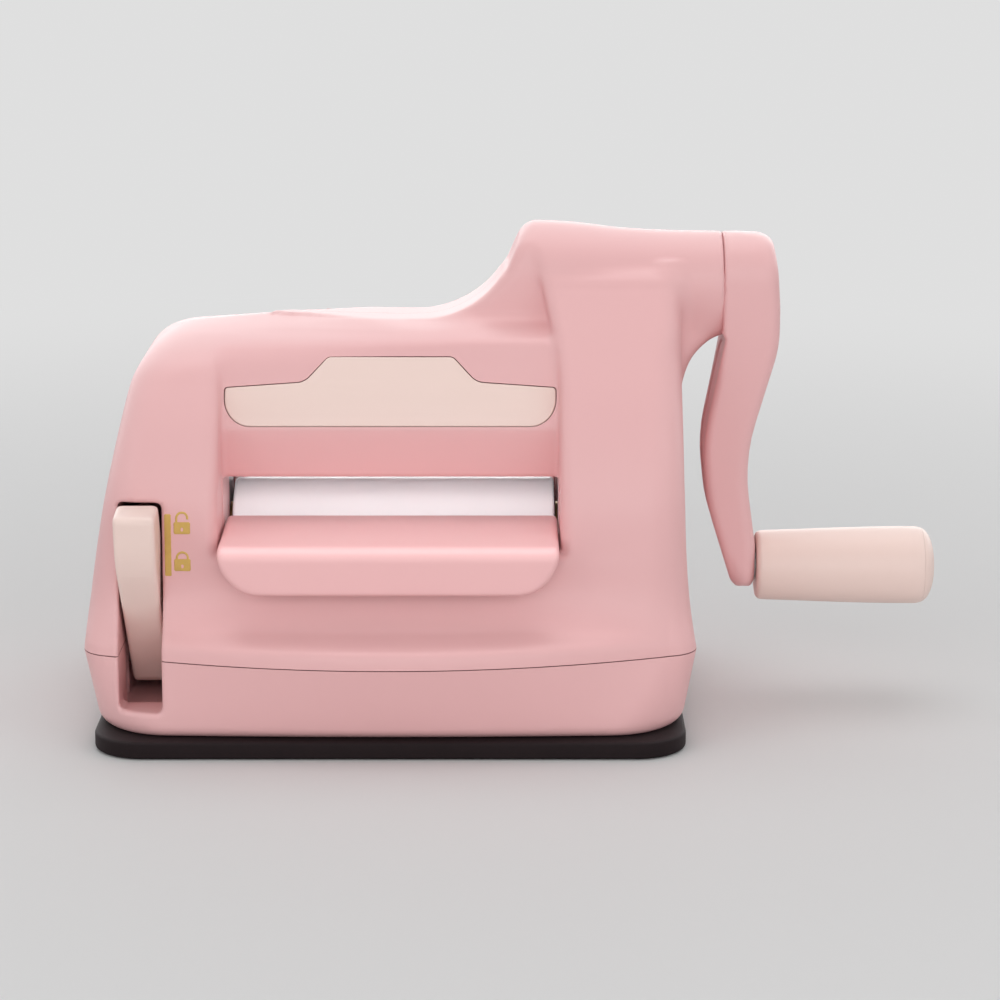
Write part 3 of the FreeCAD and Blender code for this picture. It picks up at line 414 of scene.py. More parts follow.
sh = {
    "seam": 22.0, "seamGap": 0.12, "splitGap": 0.04, "wall": 2.4, "halfWidth": 70.75, "bowSpan": 55.75,
    "bowEnd": 64.0, "blendFrom": -30.0, "blendSpan": 40.0, "browRound": 3.0, "fieldRound": 1.5,
    "opening": 39.0, "slotLow": 46.0, "slotTop": 59.8, "slotRound": 0.6, "knee": 71.9, "kneeDepth": 28.5,
    "underDepth": 25.0, "ridge": 90.0, "ridgeDepth": 21.0, "crankZ": 102.475, "towerX": 67.35,
    "crownRound": 3.0, "sleeveX": 77.58, "sleeveR": 11.2, "sleeveRound": 0.5, "webR": 18.0,
    "webHalf": 8.0, "webRound": 2.5, "webWeld": 3.5, "bore": 6.0, "boreFrom": 62.0, "boreWall": 11.0,
    "wellLeft": -62.05, "wellRight": -51.75, "wellTop": 57.1, "wellBack": -27.0, "wellRound": 1.5,
    "wellEdge": 0.7, "grid": 0.8, "screwR": 1.5, "headR": 3.2, "bossR": 4.5, "headY": 6.0,
    "screws": [(-50.5, 81.1), (63.15, 58.1)]}
skirt = [(22, 56.5), (25.2, 56), (29, 48.6), (34.5, 44), (44, 42.3), (58, 40.5)]  # height, half depth
leftDepth = steadyCurve(skirt + [(72, 34.5), (81.5, 28.2), (87.2, 23.5), (91.4, 17), (94.5, 9)])
towerPoints = [
    (75, 33), (92, 22.4), (98, 18.4), (102, 15.7), (105, 13.6), (106.5, 11), (107.5, 6), (108.5, -5)]
towerDepth = steadyCurve(skirt + towerPoints)
bowAt = steadyCurve([(22, 9.5), (25.2, 9.5), (29, 4.4), (34.5, 1.9), (44, 1), (60, 0.5), (118, 0.3)])
edgeRound = steadyCurve([
    (22, 8), (25, 8), (29, 10), (35, 10.5), (46, 9.5), (58, 8.5), (75, 8), (87, 7.5), (94, 5.5), (118, 5)])
crownRadius = steadyCurve([
    (28, 14), (37, 13.7), (42, 13.4), (47, 12.85), (52, 12.2), (58, 11.75), (66, 11.4), (77.4, 11.2)])


def between(share):  # a point on the leaning field above the opening
    return (sh["knee"] + (sh["ridge"] - sh["knee"]) * share,
            sh["kneeDepth"] + (sh["ridgeDepth"] - sh["kneeDepth"]) * share)


def under(share):  # a point on the strip that leans back under the field
    return (sh["slotTop"] + (sh["knee"] - sh["slotTop"]) * share,
            sh["underDepth"] + (sh["kneeDepth"] - sh["underDepth"]) * share)


fieldLow = [(40, sh["underDepth"]), under(0), under(0.05), under(0.5), under(0.94)]
fieldMiddle = [(sh["knee"], sh["kneeDepth"] - 0.12)] + [between(share) for share in (0.045, 0.3, 0.6, 0.9)]
fieldTop = [(91, 20.2), (92.6, 17), (94.5, 13), (96.7, 11.6), (118, 11.5)]
fieldDepth = steadyCurve(fieldLow + fieldMiddle + fieldTop)


def leftEdge(z, lean=10.7, rise=61.4, power=1.3):
    return -sh["halfWidth"] + lean * (max(0.0, z - sh["seam"]) / rise) ** power


def rightEdge(z, lean=3.4, fade=18):
    return sh["halfWidth"] - lean * (1 - math.exp(-max(0.0, z - sh["seam"]) / fade))


leftCorners = [(leftEdge(z), z, 0) for z in (8, 22, 30, 38, 46, 54, 62, 70, 76)]
topCorners = [
    (leftEdge(91.2), 91.2, 17), (-28, 94.8, 50), (22.3, 93.6, 24), (31.3, 117, 0),
    (rightEdge(117), 117, 0)]
rightCorners = [(rightEdge(z), z, 0) for z in (100, 80, 60, 50, 44, 38, 33, 29, 26, 24, 22, 8)]
frontOutline = roundedOutline(leftCorners + topCorners + rightCorners)
neckOutline = roundedOutline([
    (4, 93.6, 0), (22.3, 93.6, 24), (32, 119, 0), (95, 119, 0), (95, 80, 0), (4, 80, 0)])
recessOutline = roundedOutline([
    (-39, 46, 0), (39, 46, 0), (39, 86, 60), (31.5, 117, 0), (31.5, 140, 0), (-39, 140, 0)])


def bowShare(x):  # how much of the front's bow is used up at a place across
    return (np.minimum(np.abs(x), sh["bowEnd"]) / sh["bowSpan"]) ** 2


def slopeFrom(curve, z, near=0.2):  # how a depth changes with height
    return (curve(z + near) - curve(z - near)) / (2 * near)


def formField(x, y, z):  # the shell's outside, before its openings
    away = np.abs(y)
    right = easeStep((x - sh["blendFrom"]) / sh["blendSpan"])

    def depthAt(h):
        return leftDepth(h) * (1 - right) + towerDepth(h) * right - bowAt(h) * bowShare(x)

    side = (away - depthAt(z)) / np.sqrt(1 + slopeFrom(depthAt, z) ** 2)
    body = roundCut(side, outlineDistance(frontOutline, x, z), edgeRound(z))
    reach = np.hypot(y, z - sh["crankZ"])  # the crown is a cone about the crank that runs on as its sleeve
    crown = roundCut(reach - crownRadius(x), outlineDistance(neckOutline, x, z), sh["crownRound"])
    crown = roundCut(crown, x - sh["sleeveX"], sh["sleeveRound"])
    body = roundWeld(body, crown, 1 + 3 * easeStep((x - 60) / 5))
    drop = sh["webR"] ** 2 - np.clip(sh["towerX"] + sh["webR"] - x, 0, sh["webR"]) ** 2
    flare = reach - (sh["sleeveR"] + sh["webR"] - np.sqrt(drop))
    web = roundCut(0.7 * flare, away - sh["webHalf"], sh["webRound"])
    web = np.maximum(web, np.maximum(sh["towerX"] - 4 - x, x - sh["sleeveX"]))
    body = roundWeld(body, np.maximum(web, z - sh["crankZ"]), sh["webWeld"])
    leaning = (fieldDepth(z) - away) / np.sqrt(1 + slopeFrom(fieldDepth, z) ** 2)
    hollow = roundCut(outlineDistance(recessOutline, x, z), leaning, sh["fieldRound"])
    return roundCut(body, -hollow, sh["browRound"])


def shellField(x, y, z):  # walls, feed slot, lever well, crank bore and screw tubes
    spot = (x, y, z)
    outer = formField(x, y, z)
    shell = np.maximum(outer, -(outer + sh["wall"]))
    wellBox = boxField(
        (sh["wellLeft"] - 8, -far, 0), (sh["wellRight"] + 2, sh["wellBack"], sh["wellTop"] + 2), spot)
    shell = np.minimum(shell, np.maximum(wellBox, outer))
    reach = np.hypot(y, z - sh["crankZ"])
    boreWall = np.maximum(reach - sh["boreWall"], sh["towerX"] - sh["wall"] - x)
    shell = np.minimum(shell, np.maximum(boreWall, outer))
    for screwX, screwZ in sh["screws"]:
        tube = np.hypot(x - screwX, z - screwZ)
        shell = np.minimum(shell, np.maximum(tube - sh["bossR"], outer))
    slot = boxField(
        (-sh["opening"], -far, sh["slotLow"]), (sh["opening"], far, sh["slotTop"]), spot, sh["slotRound"])
    shell = roundCut(shell, -slot, sh["slotRound"])
    well = boxField(
        (sh["wellLeft"], -far, -5), (sh["wellRight"], sh["wellBack"] + 3, sh["wellTop"]), spot,
        sh["wellRound"])
    shell = roundCut(shell, -well, sh["wellEdge"])
    return np.maximum(shell, np.where(x > sh["boreFrom"], sh["bore"], -far) - reach)


# pale panels, let into pockets in the leaning field

pl = {
    "low": 72.5, "shoulder": 82.1, "end": 80.9, "top": 87.6, "half": 38.2, "tab": 14.4, "slope": 5.4,
    "thick": 1.6, "gap": 0.14, "bevel": 0.3, "proud": 0.08}
panelOutline = mirrored([
    (pl["half"], pl["low"], 6), (pl["half"], pl["end"], 0.8),
    (pl["tab"] + pl["slope"], pl["shoulder"], 4.5), (pl["tab"], pl["top"], 2)])
panelLean = (sh["kneeDepth"] - sh["ridgeDepth"]) / (sh["ridge"] - sh["knee"])


def onField(outline, depth, side):  # lays a flat outline on the leaning field, below or above it
    size = math.hypot(1, panelLean)
    y = -sh["kneeDepth"] + panelLean * (outline[:, 1] - sh["knee"]) - depth / size
    return np.stack([outline[:, 0], y * side, outline[:, 1] + depth * panelLean / size], 1)


def panelPair(shell, name, side, stands):  # a panel and its pocket, as (grown by, depth) loops on the field
    def laid(*steps):
        return [onField(grown(panelOutline, by), depth, side) for by, depth in steps]

    cutter = stacked(name + "Pocket", laid((pl["gap"], -pl["thick"] - 0.1), (pl["gap"], 4)))
    # the pocket walls take the painted gap shade, a dark outline of shade round the panel
    cutter.data.materials.append(gapShade)
    carved(shell, cutter)
    panel = stacked(name, laid(
        (-0.1, -pl["thick"]), (0, -pl["thick"] + 0.1), (0, pl["proud"] - pl["bevel"]),
        (-0.1, pl["proud"] - 0.08), (-pl["bevel"], pl["proud"])))
    settle(panel, "machine_frame", "cream_plastic", stands, sharp=50)


def splitOff(piece, low, high):  # takes a block away and leaves a hard edge along the cut, its faces in the painted gap shade
    cutter = blocks("cutter", [(low, high)])
    cutter.data.materials.append(gapShade)
    carved(piece, cutter)


frontSkin = skinned("frontShell", shellField, (-73, -59, 20.4), (80, 59, 119), sh["grid"])
frontSkin.data.materials.append(finishes["pink_shell"])
# the seam's cut faces take the painted gap shade, so the seam reads as a dark line
splitOff(frontSkin, (-99, -99, 0), (99, 99, sh["seam"] + sh["seamGap"]))
holeProfile = [
    (-10, 0), (-10, sh["screwR"]), (sh["headY"], sh["screwR"]), (sh["headY"], sh["headR"]),
    (60, sh["headR"]), (60, 0)]
for screwX, screwZ in sh["screws"]:
    screwHole = lathe("screwHole", holeProfile, (screwX, 0, screwZ), axis="y", turns=48)
    # the hole's inside takes the painted gap shade
    screwHole.data.materials.append(gapShade)
    carved(frontSkin, screwHole)
panelPair(frontSkin, "frontPanel", 1, "front_panel")
panelPair(frontSkin, "rearPanel", -1, "rear_panel")
rearSkin = added("rearShell", frontSkin.data.copy())
splitOff(frontSkin, (-99, -sh["splitGap"], 0), (99, 99, 150))
splitOff(rearSkin, (-99, -99, 0), (99, sh["splitGap"], 150))
settle(frontSkin, "machine_frame", "pink_shell", "front_housing")
settle(rearSkin, "machine_frame", "pink_shell", "rear_housing")

# thin cheeks close the ends of the feed slot
ck = {"inner": 39.02, "outer": 39.34, "near": 8.3, "far": 26.5, "low": 44.5, "top": 60.6}
cheekBoxes = []
for across in ((ck["inner"], ck["outer"]), (-ck["outer"], -ck["inner"])):
    for along in ((ck["near"], ck["far"]), (-ck["far"], -ck["near"])):
        cheekBoxes.append(((across[0], along[0], ck["low"]), (across[1], along[1], ck["top"])))
settle(blocks("slotCheeks", cheekBoxes), "machine_frame", "pink_shell", sharp=30)
print("stage: shell", len(frontSkin.data.polygons), len(rearSkin.data.polygons), "faces")

# lower shell: a shallow tub with the foot of the lever well

tb = {
    "low": 4.0, "seam": 22.0, "seamGap": 0.1, "halfWidth": 70.75, "halfDepth": 56.5, "bow": 9.5,
    "floorBow": 2.0, "corner": 8.0, "lowCorner": 17.0, "draft": 2.6, "frontDraft": 5.8, "foot": 5.5,
    "lowRound": 2.6, "wall": 2.4, "floor": 6.4, "sill": 9.6, "sillDepth": -38.0, "grid": 0.9,
    "bossR": 4.5, "screwR": 1.5, "headR": 3.2, "headTop": 9.4, "stem": (0.0, -14.29, 3.4),
    "screws": [(-44.75, -37.5), (58, -37.5), (-58, 37.5), (58, 37.5)],
    "posts": [(-65.05, -62.45), (7.5, 10.5)], "postHalf": 6.0, "leverAxis": (-16.0, 16.2),
    "leverBore": 3.5}


def lowerShell(x, y, z):
    spot = (x, y, z)
    share = (tb["seam"] - z) / (tb["seam"] - tb["foot"])
    bow = (tb["bow"] + (tb["floorBow"] - tb["bow"]) * share) * bowShare(x)
    face = np.abs(y) - (tb["halfDepth"] - tb["frontDraft"] * share - bow)
    corner = tb["corner"] + (tb["lowCorner"] - tb["corner"]) * np.clip(share, 0, 1)
    side = roundCut(np.abs(x) - (tb["halfWidth"] - tb["draft"] * share), face, corner)
    outer = roundCut(side, tb["low"] - z, tb["lowRound"])
    shell = np.maximum(outer, -np.maximum(side + tb["wall"], tb["floor"] - z))
    well = boxField(
        (sh["wellLeft"] - 8, -far, 0), (sh["wellRight"] + tb["wall"], sh["wellBack"] - 2, 60), spot)
    shell = np.minimum(shell, np.maximum(well, outer))
    for screwX, screwY in tb["screws"]:
        reach = np.hypot(x - screwX, y - screwY)
        shell = np.minimum(shell, np.maximum(reach - tb["bossR"], outer))
        shell = np.maximum(shell, np.where(z < tb["headTop"], tb["headR"], tb["screwR"]) - reach)
    axisY, axisZ = tb["leverAxis"]
    reach = np.hypot(y - axisY, z - axisZ)
    for low, high in tb["posts"]:
        post = boxField((low, axisY - tb["postHalf"], 0), (high, axisY + tb["postHalf"], 60), spot)
        shell = np.minimum(shell, np.maximum(np.maximum(post, tb["leverBore"] - reach), outer))
    wellBack = sh["wellBack"] + 1
    slot = boxField(
        (sh["wellLeft"], -far, tb["sill"]), (sh["wellRight"], wellBack, 60), spot, sh["wellRound"])
    shell = roundCut(shell, -slot, sh["wellEdge"])
    pocket = boxField((sh["wellLeft"], tb["sillDepth"], tb["floor"]), (sh["wellRight"], wellBack, 20), spot)
    shell = np.maximum(shell, -pocket)
    return np.maximum(shell, tb["stem"][2] - np.hypot(x - tb["stem"][0], y - tb["stem"][1]))


lowerSkin = skinned("lowerShell", lowerShell, (-73, -59, 2.5), (73, 59, 24), tb["grid"])
lowerSkin.data.materials.append(finishes["pink_shell"])
# the cut faces along the seam take the painted gap shade
splitOff(lowerSkin, (-99, -99, tb["seam"] - tb["seamGap"]), (99, 99, 60))
settle(lowerSkin, "machine_frame", "pink_shell", "lower_housing")

# trays with a turned-down lip

ty = {
    "half": 38.7, "top": 48.6, "rise": 1.0, "back": -20.0, "front": -50.0, "plate": 2.6, "lipLow": 37.0,
    "lip": 3.5, "corner": 10.5, "soft": 1.3, "grid": 0.6}
trayProfile = roundedOutline([
    (ty["front"], ty["top"], 3), (ty["back"], ty["top"] + ty["rise"], 0.3),
    (ty["back"], ty["top"] - ty["plate"], 0.3), (ty["front"] + ty["lip"], ty["top"] - ty["plate"], 1.2),
    (ty["front"] + ty["lip"], ty["lipLow"], 0.6), (ty["front"] + 0.9, ty["lipLow"], 1.2)])
trayOutline = mirrored([(ty["half"], ty["lipLow"], ty["corner"]), (ty["half"], ty["top"] + 6, 0)])


def frontTray(x, y, z):
    return roundCut(outlineDistance(trayProfile, y, z), outlineDistance(trayOutline, x, z), ty["soft"])


trayPoints, trayFaces = skinMesh(frontTray, (-40.5, -52, 35), (40.5, -18.5, 51.5), ty["grid"])
for name, side, stands in (("frontTray", 1, "front_tray"), ("rearTray", -1, "rear_tray")):
    tray = newMesh(name, trayPoints * (1, side, 1), trayFaces[:, ::side])
    settle(tray, "machine_frame", "pink_shell", stands)
print("stage: lower shell and trays")

# rollers

rs = {"radius": 13.4, "bore": 4.0, "end": 38.2, "round": 0.9, "upper": 73.1, "lower": 40.6}
rollerProfile = [(-rs["end"], rs["bore"])]
for turn in np.radians(np.arange(90, -1, -15)):
    rollerProfile.append((
        -rs["end"] + rs["round"] * (1 - math.sin(turn)),
        rs["radius"] - rs["round"] * (1 - math.cos(turn))))
rollerProfile += [(-along, radius) for along, radius in rollerProfile[::-1]]
for name in ("upper", "lower"):
    roller = lathe(name + "Roller", rollerProfile, (0, 0, rs[name]), closed=True, turns=144)
    settle(roller, name + "_roller_set", "white_roller", name + "_roller", sharp=40)

# crank arm, its inner cover and the turning grip

am = {
    "hubX": 77.65, "hubEnd": 91.15, "gripX": 86.45, "crankZ": 102.475, "gripZ": 32.575, "hubR": 11.2,
    "crest": 2.0, "half": 7.5, "bowX": 73.2, "foot": 5.5, "coverHalf": 4.9, "coverLow": 37.6,
    "coverTop": 87.5, "coverDeep": 1.4, "coverBack": 0.35, "coverGap": 0.1, "shaftR": 4.0,
    "shaftDeep": 7.0, "pinR": 3.0, "pinDeep": 4.5, "softest": 3.0, "grid": 0.6, "coverGrid": 0.4}
armTop, armLow = am["crankZ"] + am["hubR"], am["gripZ"] - am["foot"]
hubLow = am["crankZ"] - am["hubR"] - 0.2
armOutline = roundedOutline([
    (am["hubX"], armTop + am["crest"], 0), (am["hubEnd"] - 2, armTop + am["crest"], 6),
    (am["hubEnd"] - 0.6, am["crankZ"] + 2.5, 14), (am["hubEnd"], am["crankZ"] - 6, 30),
    (am["hubEnd"], am["crankZ"] - 15.2, 30), (am["gripX"] - 3.1, am["crankZ"] - 42.7, 45),
    (am["gripX"], am["gripZ"] + 6, 8), (am["gripX"], armLow, 1.2), (am["gripX"] - 4.9, armLow, 1),
    (am["bowX"] + 1.5, am["crankZ"] - 53.5, 40), (am["bowX"], am["crankZ"] - 39, 40),
    (am["hubX"] + 1.0, hubLow, 2), (am["hubX"], hubLow, 0)])
armSide = mirrored([(am["half"], armLow, 6.4), (am["hubR"], armTop, 10.6)])
coverSide = mirrored([(am["coverHalf"], am["coverLow"], 4), (am["coverHalf"], am["coverTop"], 4)])


def coverPocket(x, y, z, gap):
    behind = outlineDistance(armOutline, x - am["coverDeep"], z)
    return np.maximum(gap - behind, outlineDistance(coverSide, y, z) + gap)


def armField(x, y, z):
    soft = 0.7 + 2.3 * easeStep((x - am["hubX"] - 0.5) / 6) + 1.2 * easeStep((88 - z) / 10)
    soft = np.minimum(soft, am["softest"])
    arm = roundCut(outlineDistance(armOutline, x, z), outlineDistance(armSide, y, z), soft)
    arm = roundCut(arm, -coverPocket(x, y, z, 0), 0.3)
    shaftEnd = am["hubX"] + am["shaftDeep"]
    shaft = np.maximum(am["shaftR"] - np.hypot(y, z - am["crankZ"]), x - am["hubX"] - am["shaftDeep"])
    arm = np.maximum(arm, np.where(x < shaftEnd, shaft, -far))
    pin = am["pinR"] - np.hypot(y, z - am["gripZ"])
    return np.maximum(arm, np.where(x > am["gripX"] - am["pinDeep"], pin, -far))


def coverField(x, y, z):
    face = outlineDistance(armOutline, x - am["coverBack"], z)
    return roundCut(face, coverPocket(x, y, z, am["coverGap"]), 0.35)


arm = skinned("crankArm", armField, (71, -12.5, 23), (92.5, 12.5, 115), am["grid"])
settle(arm, "crank", "pink_shell", "crank_arm")
cover = skinned("armCover", coverField, (72, -6.5, 35.5), (84, 6.5, 90.5), am["coverGrid"])
settle(cover, "crank", "pink_inner", "crank_back_cover")

gs = {  # grip
    "start": 0.4, "length": 43.5, "neck": 8.3, "radius": 9.3, "bore": 3.05, "seat": 5.6, "seatAt": 37.5,
    "capAt": 40.5, "capGap": 0.02, "capDeep": 0.8, "endLong": 5.0, "endPower": 2.6, "neckRound": 1.4}
gripLine = steadyCurve([
    (0, gs["neck"]), (8, 8.55), (22, 9.05), (31, 9.25), (gs["length"] - gs["endLong"], gs["radius"])])


def gripEnd(along):  # the grip swells to its far end and closes in a blunt end
    past = np.clip((along - gs["length"]) / gs["endLong"] + 1, 0, 1)
    return (along, float(gripLine(along) * (1 - past ** gs["endPower"]) ** (1 / gs["endPower"])))


gripProfile = [(gs["start"], gs["bore"])]
for turn in [math.radians(18 * k) for k in range(6)]:
    gripProfile.append((
        gs["start"] + gs["neckRound"] * (1 - math.cos(turn)),
        gs["neck"] - gs["neckRound"] * (1 - math.sin(turn))))
gripClose, seatR, capLong = gs["capAt"] - gs["capGap"], gs["seat"] - 0.05, gs["length"] - gs["capAt"]
gripProfile += [gripEnd(along) for along in np.linspace(3, gripClose, 32)]
gripProfile += [(gripClose, gs["seat"]), (gs["seatAt"], gs["seat"]), (gs["seatAt"], gs["bore"])]
capBack = gs["capAt"] - gs["capDeep"]
capProfile = [(capBack, 0), (capBack, seatR), (gs["capAt"] + gs["capGap"], seatR)]
for turn in np.radians(np.linspace(0.5, 90, 16)):
    capProfile.append(gripEnd(gs["length"] - capLong * (1 - math.sin(turn))))
gripStart = (am["gripX"], 0, am["gripZ"])
settle(lathe("grip", gripProfile, gripStart, closed=True), "crank_grip", "cream_plastic", "grip", sharp=45)
settle(lathe("gripCap", capProfile, gripStart), "crank_grip", "cream_plastic", "grip_cap", sharp=45)
print("stage: crank and grip")

# suction lever

lv = {
    "x": -56.9, "tipHalf": 4.7, "rootHalf": 4.3, "axisY": -16.0, "axisZ": 16.2, "tipY": -47.5,
    "tipZ": 57.1, "hub": 6.5, "soft": 0.9, "shaftR": 3.0, "grid": 0.5}
leverSide = roundedOutline([
    (lv["tipY"] - 4.6, lv["tipZ"] - 1, 1.5), (lv["tipY"] - 3, lv["tipZ"] - 12, 25),
    (lv["axisY"] - 18, lv["axisZ"] + 7, 12), (lv["axisY"] - 7, lv["axisZ"] - lv["hub"], 6),
    (lv["axisY"] + lv["hub"], lv["axisZ"] - lv["hub"], 6),
    (lv["axisY"] + lv["hub"], lv["axisZ"] + lv["hub"], 5.5), (lv["axisY"] - 13, lv["axisZ"] + 19, 15),
    (lv["tipY"] + 4.5, lv["tipZ"] + 0.5, 2)])
leverFront = mirrored([
    (lv["rootHalf"], lv["axisZ"] - 12, 0), (lv["rootHalf"], lv["axisZ"] + 8, 30),
    (lv["tipHalf"], lv["tipZ"] - 11, 12), (lv["tipHalf"], lv["tipZ"] + 0.8, 1.6)])


def leverField(x, y, z):
    lever = roundCut(
        outlineDistance(leverSide, y, z), outlineDistance(leverFront, x - lv["x"], z), lv["soft"])
    return np.maximum(lever, lv["shaftR"] - np.hypot(y - lv["axisY"], z - lv["axisZ"]))


lever = skinned("suctionLever", leverField, (-64, -54, 8), (-50.5, -8, 59), lv["grid"])
settle(lever, "suction_lever", "cream_plastic", "lever")

# rubber pad and suction cup

pd = {"half": (68.25, 52.5), "corner": 12.0, "thick": 4.0, "soft": 0.7, "hole": 19.1, "cupY": -23.09}
halfX, halfY = pd["half"]
padOutline = roundedOutline([(x * halfX, y * halfY, pd["corner"]) for x, y in squareTurn], 4)


def levelLoop(outline, z):
    return np.column_stack([outline, np.full(len(outline), z)])


padTurns = np.radians([0, 22.5, 45, 67.5, 90])
padSteps = [(pd["soft"] * (1 - math.sin(t)), pd["soft"] * (1 - math.cos(t))) for t in padTurns]
padLoops = [levelLoop(grown(padOutline, -inset), height) for inset, height in padSteps]
padLoops += [levelLoop(grown(padOutline, -inset), pd["thick"] - height) for inset, height in padSteps[::-1]]
pad = stacked("rubberPad", padLoops)
pad.data.materials.append(finishes["black_rubber"])
hole = lathe("padHole", [(-2, 0), (-2, pd["hole"]), (8, pd["hole"]), (8, 0)], (0, pd["cupY"], 0), axis="z")
hole.data.materials.append(finishes["black_rubber"])
carved(pad, hole)
settle(pad, "machine_frame", "black_rubber", "suction_pad", sharp=60)
print("stage: lever and pad")

# gold signs printed beside the lever: open above, locked below, and a bar between

sg = {
    "bar": ((-51.1, 40.4), (-49.6, 54.7)), "open": (-47.1, 51.5), "locked": (-47.1, 43.0),
    "bodyHalf": (1.9, 1.4), "hoopR": 1.25, "hoopLine": 0.26, "lift": 0.9, "shutLift": 0.25, "root": 0.3,
    "over": 0.07, "under": 0.3, "grid": 0.14}


def lockSign(x, z, centre, lift):
    x, z = x - centre[0], z - centre[1]
    half, hoop, line = sg["bodyHalf"], sg["hoopR"], sg["hoopLine"]
    body = boxField((-half[0], -half[1]), half, (x, z), 0.4)
    keyhole = boxField((-0.25, -0.75), (0.25, 0.1), (x, z), 0.2)
    top = half[1] + lift
    arch = np.maximum(np.abs(np.hypot(x, z - top) - hoop) - line, top - z)
    leftLeg = boxField((-hoop - line, half[1] - sg["root"]), (-hoop + line, top + 0.1), (x, z))
    rightLeg = boxField((hoop - line, half[1] - sg["root"] + lift), (hoop + line, top + 0.1), (x, z))
    hoops = np.minimum(arch, np.minimum(leftLeg, rightLeg))
    return np.minimum(np.maximum(body, -keyhole), hoops)


def signField(x, y, z):
    flat = boxField(*sg["bar"], (x, z), 0.3)
    flat = np.minimum(flat, lockSign(x, z, sg["open"], sg["lift"]))
    flat = np.minimum(flat, lockSign(x, z, sg["locked"], sg["shutLift"]))
    outer = formField(x, y, z)
    return np.maximum(np.maximum(flat, outer - sg["over"]), -outer - sg["under"])


signs = skinned("lockSigns", signField, (-51.5, -44.5, 39.8), (-44.6, -39.4, 56.2), sg["grid"])
settle(signs, "machine_frame", "bronze", sharp=50, material=goldPrint)

# fasteners and cup ribs repeat, so node trees place them

def newTree(name, inputs):  # an empty tree with named inputs, and the nodes at its two ends
    tree = bpy.data.node_groups.new(name, "GeometryNodeTree")
    tree.interface.new_socket("Geometry", in_out="OUTPUT", socket_type="NodeSocketGeometry")
    keys = {}
    for label, kind in {"Geometry": "Geometry", **inputs}.items():
        socket = tree.interface.new_socket(label, in_out="INPUT", socket_type="NodeSocket" + kind)
        keys[label] = socket.identifier
    return tree, keys, addNode(tree, "NodeGroupInput").outputs, addNode(tree, "NodeGroupOutput")


def finishTree(tree, source, given, end):  # what every tree ends in
    plain = addNode(tree, "GeometryNodeRealizeInstances", {"Geometry": source})
    paint = addNode(tree, "GeometryNodeSetMaterial", {
        "Geometry": plain.outputs["Geometry"], "Material": given["Finish"]})
    feed(tree, end, {"Geometry": paint.outputs["Geometry"]})


def spreadTree(tree, mesh, facing, given, end):  # one of the mesh on each point, turned the given way
    turn = addNode(tree, "FunctionNodeAlignRotationToVector", {"Vector": facing}, axis="Z")
    spread = addNode(tree, "GeometryNodeInstanceOnPoints", {
        "Points": given["Geometry"], "Instance": mesh, "Rotation": turn.outputs["Rotation"]})
    finishTree(tree, spread.outputs["Instances"], given, end)


def placedByTree(name, spots, tree, keys, values):  # runs a tree on points and keeps a plain mesh
    holder = newMesh(name, spots, [])
    run = holder.modifiers.new("tree", "NODES")
    run.node_group = tree
    for label, value in values.items():
        run[keys[label]] = value
    return madePlain(holder)


def screwTree():  # a pan head with a cross recess, on a shank, its head facing the given way
    tree, keys, given, end = newTree("screwSet", {
        "Head Radius": "Float", "Head Height": "Float", "Shank Radius": "Float", "Shank Length": "Float",
        "Recess Width": "Float", "Facing": "Vector", "Finish": "Material"})

    def scaled(label, factor):
        return addNode(
            tree, "ShaderNodeMath", {0: given[label], 1: factor}, operation="MULTIPLY").outputs[0]

    def raised(mesh, height):
        way = addNode(tree, "ShaderNodeCombineXYZ", {"Z": height})
        return addNode(tree, "GeometryNodeTransform", {
            "Geometry": mesh.outputs["Mesh"], "Translation": way.outputs[0]}).outputs["Geometry"]

    head = addNode(tree, "GeometryNodeMeshCone", {
        "Vertices": 28, "Radius Top": scaled("Head Radius", 0.72), "Radius Bottom": given["Head Radius"],
        "Depth": scaled("Head Height", 0.4)})
    rim = addNode(tree, "GeometryNodeMeshCylinder", {
        "Vertices": 28, "Radius": given["Head Radius"], "Depth": scaled("Head Height", 0.6)})
    shank = addNode(tree, "GeometryNodeMeshCylinder", {
        "Vertices": 20, "Radius": given["Shank Radius"], "Depth": given["Shank Length"]})
    solid = addNode(tree, "GeometryNodeMeshBoolean", operation="UNION", solver="EXACT")
    parts = ((head, "Head Height", 0.6), (rim, "Head Height", 0.3), (shank, "Shank Length", -0.5))
    for mesh, label, share in parts:
        feed(tree, solid, {"Mesh 2": raised(mesh, scaled(label, share))})
    recess = addNode(tree, "GeometryNodeMeshBoolean", operation="DIFFERENCE", solver="EXACT")
    feed(tree, recess, {"Mesh 1": solid.outputs["Mesh"]})
    reach, width, height = scaled("Head Radius", 1.15), given["Recess Width"], given["Head Height"]
    for x, y in ((reach, width), (width, reach)):
        size = addNode(tree, "ShaderNodeCombineXYZ", {"X": x, "Y": y, "Z": height}).outputs[0]
        bar = addNode(tree, "GeometryNodeMeshCube", {"Size": size})
        feed(tree, recess, {"Mesh 2": raised(bar, height)})
    spreadTree(tree, recess.outputs["Mesh"], given["Facing"], given, end)
    return tree, keys


def nutTree():  # six-sided nuts with a bore, along the rollers
    tree, keys, given, end = newTree("nutSet", {
        "Across": "Float", "Thickness": "Float", "Bore": "Float", "Finish": "Material"})
    blank = addNode(tree, "GeometryNodeMeshCylinder", {
        "Vertices": 6, "Radius": given["Across"], "Depth": given["Thickness"]})
    double = addNode(tree, "ShaderNodeMath", {0: given["Thickness"], 1: 2}, operation="MULTIPLY").outputs[0]
    hole = addNode(tree, "GeometryNodeMeshCylinder", {
        "Vertices": 24, "Radius": given["Bore"], "Depth": double})
    bored = addNode(tree, "GeometryNodeMeshBoolean", operation="DIFFERENCE", solver="EXACT")
    feed(tree, bored, {"Mesh 1": blank.outputs["Mesh"], "Mesh 2": hole.outputs["Mesh"]})
    spreadTree(tree, bored.outputs["Mesh"], (1, 0, 0), given, end)
    return tree, keys


